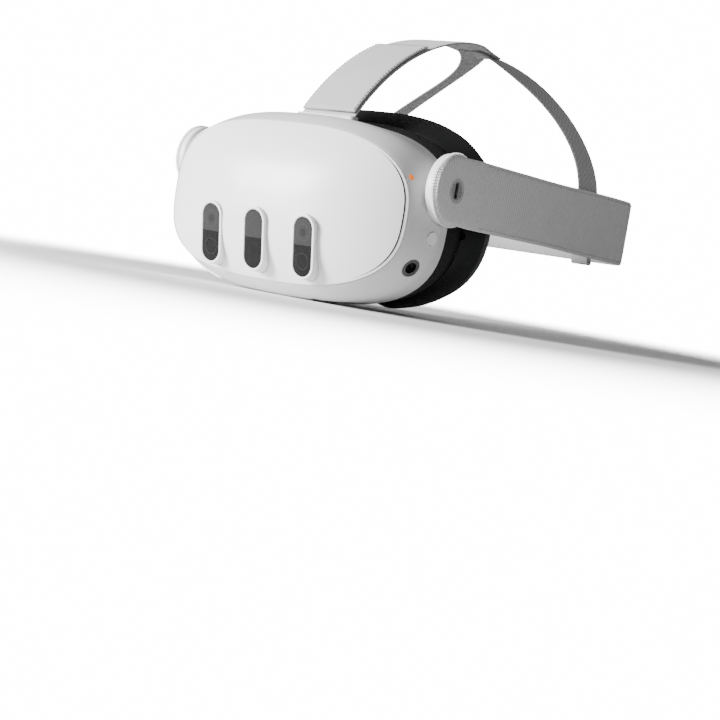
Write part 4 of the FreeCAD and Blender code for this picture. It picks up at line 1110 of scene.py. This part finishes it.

# %% [markdown]
# The crown strap leaves a slot on top of the visor, arcs over the head and splits into two ribbed
# branches that run down to the loop. Its front is doubled, because it feeds through the slot and folds
# back on itself to set its length. Over the hinge it is one length of webbing, so it rides on neither the
# visor nor the strap body and has its place baked into its mesh.

# %% Crown strap
CROWN_CENTRE_Y, CROWN_CENTRE_Z, CROWN_RADIUS = 122.0, -54.0, 150.5
CROWN_HALF, CROWN_THICK, CROWN_LIFT = 18.8, 1.8, -0.9
CROWN_START, CROWN_END, CROWN_STATIONS = -1.4, 140.0, 70
FOLD_THICK, FOLD_LIFT, FOLD_END, FOLD_STATIONS = 1.7, 1.1, 56, 30
SINK_START, SINK_RUN, SPLIT_SINK = 112, 30, 1.4
TAPER_START, TAPER_RUN, SPLIT_TAPER = 96, 40, 6.6


def crown_stations(start_y, end_y, lift, count, half=CROWN_HALF):
    """Stations along the crown arc; it sinks and narrows a little towards the split."""
    found = []
    first = math.acos((start_y - CROWN_CENTRE_Y) / CROWN_RADIUS)
    last = math.acos((end_y - CROWN_CENTRE_Y) / CROWN_RADIUS)
    for step in range(count + 1):
        angle = first + (last - first) * step / count
        out = Vector((0, math.cos(angle), math.sin(angle)))
        y = CROWN_CENTRE_Y + CROWN_RADIUS * out.y
        radius = CROWN_RADIUS + lift - SPLIT_SINK * ease((y - SINK_START) / SINK_RUN)
        centre = about_pivot(0, CROWN_CENTRE_Y + radius * out.y, CROWN_CENTRE_Z + radius * out.z)
        width = half - SPLIT_TAPER * ease((y - TAPER_START) / TAPER_RUN)
        found.append((centre, Vector((1, 0, 0)), out, width))
    return found


crown, crown_length = sweep("crown_webbing", crown_stations(CROWN_START, CROWN_END, CROWN_LIFT,
                                                             CROWN_STATIONS), CROWN_THICK, CROWN_CLOTH)
settle(crown, None, "crown_fabric", "crown_strap_front", "crown_strap_rear")
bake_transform(crown)
fold, fold_length = sweep("crown_fold", crown_stations(0.2, FOLD_END, FOLD_LIFT, FOLD_STATIONS,
                                                       CROWN_HALF - 0.4), FOLD_THICK, CROWN_CLOTH)
settle(fold, None, "crown_fabric", "crown_strap_fold")
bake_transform(fold)
print("crown", round(crown_length, 3), "fold", round(fold_length, 3))

# %% [markdown]
# Behind the split each branch lies on the back of the head, so its centre line is a Bezier curve that runs
# back, out and down to the loop. Its outer face turns from upwards to outwards on the way, as the normal of
# an ellipsoid with its middle inside the loop does.

# %% Branches
BRANCH_HALF, BRANCH_THICK, BRANCH_STEPS = 8.4, 1.5, 60
BRANCH_START, BRANCH_BACK = Vector((0, 124, 94.4)), Vector((14, 176, 93.5))
BRANCH_OUT, BRANCH_FOOT = Vector((90.4, 139, 47)), Vector((89.2, 139, 12))
FACE_CENTRE, FACE_RADII = Vector((0, 172, 20)), Vector((78, 98, 85))


def bezier(part, start, first, second, end):
    """A point on a cubic curve and the way it runs there."""
    rest = 1 - part
    point = (rest ** 3 * start + 3 * rest ** 2 * part * first
             + 3 * rest * part ** 2 * second + part ** 3 * end)
    run = rest ** 2 * (first - start) + 2 * rest * part * (second - first) + part ** 2 * (end - second)
    return point, run.normalized()


def branch_stations(side):
    """Stations from the split to the loop, lying on the head."""
    found = []
    for step in range(BRANCH_STEPS + 1):
        point, run = bezier(step / BRANCH_STEPS, BRANCH_START, BRANCH_BACK, BRANCH_OUT, BRANCH_FOOT)
        away = point - FACE_CENTRE
        normal = Vector([away[axis] / FACE_RADII[axis] ** 2 for axis in range(3)])
        across = run.cross(normal).normalized()
        out = across.cross(run).normalized()
        for vector in (point, across, out):
            vector.x *= side
        found.append((about_pivot(*point), across, out, BRANCH_HALF))
    return found


for name, side in SIDES:
    branch, branch_length = sweep("branch_" + name, branch_stations(side), BRANCH_THICK, BRANCH_CLOTH)
    settle(branch, "strap", "crown_fabric", "strap_branch_" + name)
print("branch length", round(branch_length, 3))

# %% [markdown]
# Rows of stitches hold the webbing edges and the places where straps join. One tree lays a short bar of
# thread at even steps along a line, so a single set of values gives the stitch its length and gap.


# %% Stitch tree
THREAD_SIDES = 6
STITCH = {"Spacing": 2.6 * MM, "Length": 1.8 * MM, "Thread": 0.17 * MM, "Finish": THREAD}


def stitch_tree():
    """Short bars along a curve, at even spacing, turned to follow it."""
    tree, given = open_tree("stitches", Geometry="Geometry", Spacing="Float", Length="Float",
                            Thread="Float", Finish="Material")
    points = tree.nodes.new("GeometryNodeCurveToPoints")
    points.mode = "LENGTH"
    bar = tree.nodes.new("GeometryNodeMeshCylinder")
    bar.inputs["Vertices"].default_value = THREAD_SIDES
    on_points = tree.nodes.new("GeometryNodeInstanceOnPoints")
    wire = tree.links.new
    wire(given.outputs["Geometry"], points.inputs["Curve"])
    wire(given.outputs["Spacing"], points.inputs["Length"])
    wire(given.outputs["Length"], bar.inputs["Depth"])
    wire(given.outputs["Thread"], bar.inputs["Radius"])
    wire(points.outputs["Points"], on_points.inputs["Points"])
    wire(bar.outputs["Mesh"], on_points.inputs["Instance"])
    wire(points.outputs["Rotation"], on_points.inputs["Rotation"])
    return close_tree(tree, given, on_points)


STITCHES = stitch_tree()
print("stitch tree has", len(STITCHES.nodes), "nodes")


# %% [markdown]
# The loop strap is stitched along both edges behind its hub, and the folded layer along its edges and
# across its end. The lines follow the straps' own stations, so the thread always lies on the cloth.


# %% Stitches
def stitch_rows(name, lines):
    """Stitches along one or more lines of points, as one mesh."""
    curve = bpy.data.curves.new(name, "CURVE")
    curve.dimensions = "3D"
    for line in lines:
        spline = curve.splines.new("POLY")
        spline.points.add(len(line) - 1)
        for knot, place in zip(spline.points, line):
            knot.co = (*place, 1)
    return grown(name, curve, STITCHES, STITCH)


def edge_line(found, part, lift):
    """A line along a strap's outer face, at a part of its half width."""
    return [centre + (across * half * part + out * lift) * MM for centre, across, out, half in found]


STITCH_START, LOOP_EDGE, FOLD_EDGE, THREAD_SINK = 24, 0.9, 0.93, 0.05
behind_hub = [station for station in loop_line if station[0].y > about_pivot(0, STITCH_START, 0).y]
loop_lines = [edge_line(behind_hub, part, STRAP_THICK / 2 - THREAD_SINK) for part in (-LOOP_EDGE, LOOP_EDGE)]
loop_stitches = stitch_rows("loop_stitches", loop_lines)
settle(loop_stitches, "strap", "strap_fabric")
fold_lines = [edge_line(crown_stations(1.6, FOLD_END, FOLD_LIFT, FOLD_STATIONS), part, FOLD_THICK / 2)
              for part in (-FOLD_EDGE, FOLD_EDGE)]
centre, across, out, half = crown_stations(FOLD_END - 2, FOLD_END, FOLD_LIFT, 1)[0]
fold_lines.append([centre + (across * half * part * FOLD_EDGE + out * FOLD_THICK / 2) * MM
                   for part in (-1, -0.5, 0, 0.5, 1)])
fold_stitches = stitch_rows("fold_stitches", fold_lines)
settle(fold_stitches, None, "crown_fabric")
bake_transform(fold_stitches)

# %% [markdown]
# The sliders on the rear band set the loop's length. Each is a moulded frame with a slot that the band
# passes through, bevelled on every edge.


# %% Sliders
SLIDER_PLACE, SLIDER_POINTS, SLIDER_CORNER = 51.0, 48, 0.3
# Each row is a half depth, a half height and a place across the slider.
SLIDER_PROFILE = ((1.5, 19.9, -5.6), (3.0, 21.5, -5.9), (3.2, 21.7, -5.3), (3.2, 21.7, 5.3),
                  (3.0, 21.5, 5.9), (1.5, 19.9, 5.6))


def slider(name, x):
    """A rounded frame round the band."""
    rows = []
    for half_depth, half_high, shift in SLIDER_PROFILE:
        row = []
        for angle in circle_angles(SLIDER_POINTS):
            deep = half_depth * signed_power(math.cos(angle), SLIDER_CORNER)
            high = half_high * signed_power(math.sin(angle), SLIDER_CORNER)
            row.append(about_pivot(x + shift, LOOP_REAR + deep, high))
        rows.append(row)
    return rows_to_mesh(name, rows, TRIM, closed=True)


for name, side in SIDES:
    clip = slider("slider_clip_" + name, side * SLIDER_PLACE)
    settle(clip, "slider_" + name, "grey_trim", "slider_" + name)

# %% [markdown]
# The CAD pieces that keep their own shape get a finish each. Assigning to the first material slot is
# enough, because every CAD node comes in with one.

# %% Finishes for the CAD pieces
CAD_FINISHES = (
    (STEEL, ("lens_rails", "bezel_screws", "pivot_pins", "usb_c_port", "audio_jack")),
    (ALLOY, ("heat_spreader", "mid_frame")),
    (BLACK, ("lens_bezel", "depth_button_left", "depth_button_right", "arm_core_left", "arm_core_right",
             "fan_housing", "gear_bracket", "ipd_wheel")),
    (NYLON, ("centre_pinion", "lens_rack_left", "lens_rack_right", "fan_rotor")),
    (TUBE, ("lens_barrel_left", "lens_barrel_right")),
    (WHITE, ("power_button", "volume_rocker")),
    (TRIM, ("port_rings", "crown_anchor")),
    (GLOSS, ("tracking_cameras", "depth_projector", "side_camera_left", "side_camera_right",
             "proximity_sensor", "microphones", "display_panel_left", "display_panel_right")),
    (LENS, ("lens_left", "lens_right")),
    (BOARD, ("main_board",)),
    (WRAP, ("battery_pack",)),
    (GLOW, ("status_light",)),
    (GRILLE, ("speakers",)),
)
for finish, members in CAD_FINISHES:
    for member in members:
        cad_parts[member].material_slots[0].material = finish
print("finished", sum(len(members) for _, members in CAD_FINISHES), "CAD pieces")

# %% [markdown]
# The floor is painted last. Its paint is solid under the headset and fades to clear at the disc's edge,
# so the disc itself never shows against the sky.


# %% Floor paint
FADE_END = 0.97


def floor_paint():
    """Pale paint that fades out to clear towards the floor's edge."""
    made = Finish("pale_floor", grey(245), 0.8)
    made.tint(made.noise(20, 2), grey(243), grey(247))
    radius = made.node("VectorMath", operation="LENGTH")
    made.link(made.where.outputs["Object"], radius.inputs[0])
    fade = made.node("MapRange", interpolation_type="SMOOTHSTEP")
    fade.inputs["From Min"].default_value = FLOOR_SOLID
    fade.inputs["From Max"].default_value = FLOOR_RADIUS * FADE_END
    fade.inputs["To Min"].default_value = 1.0
    fade.inputs["To Max"].default_value = 0.0
    made.link(radius.outputs["Value"], fade.inputs["Value"])
    made.link(fade.outputs["Result"], made.shader.inputs["Alpha"])
    return made.material


floor.data.materials.append(floor_paint())
print("floor paint fades from", FLOOR_SOLID, "m to", round(FLOOR_RADIUS * FADE_END, 3), "m")
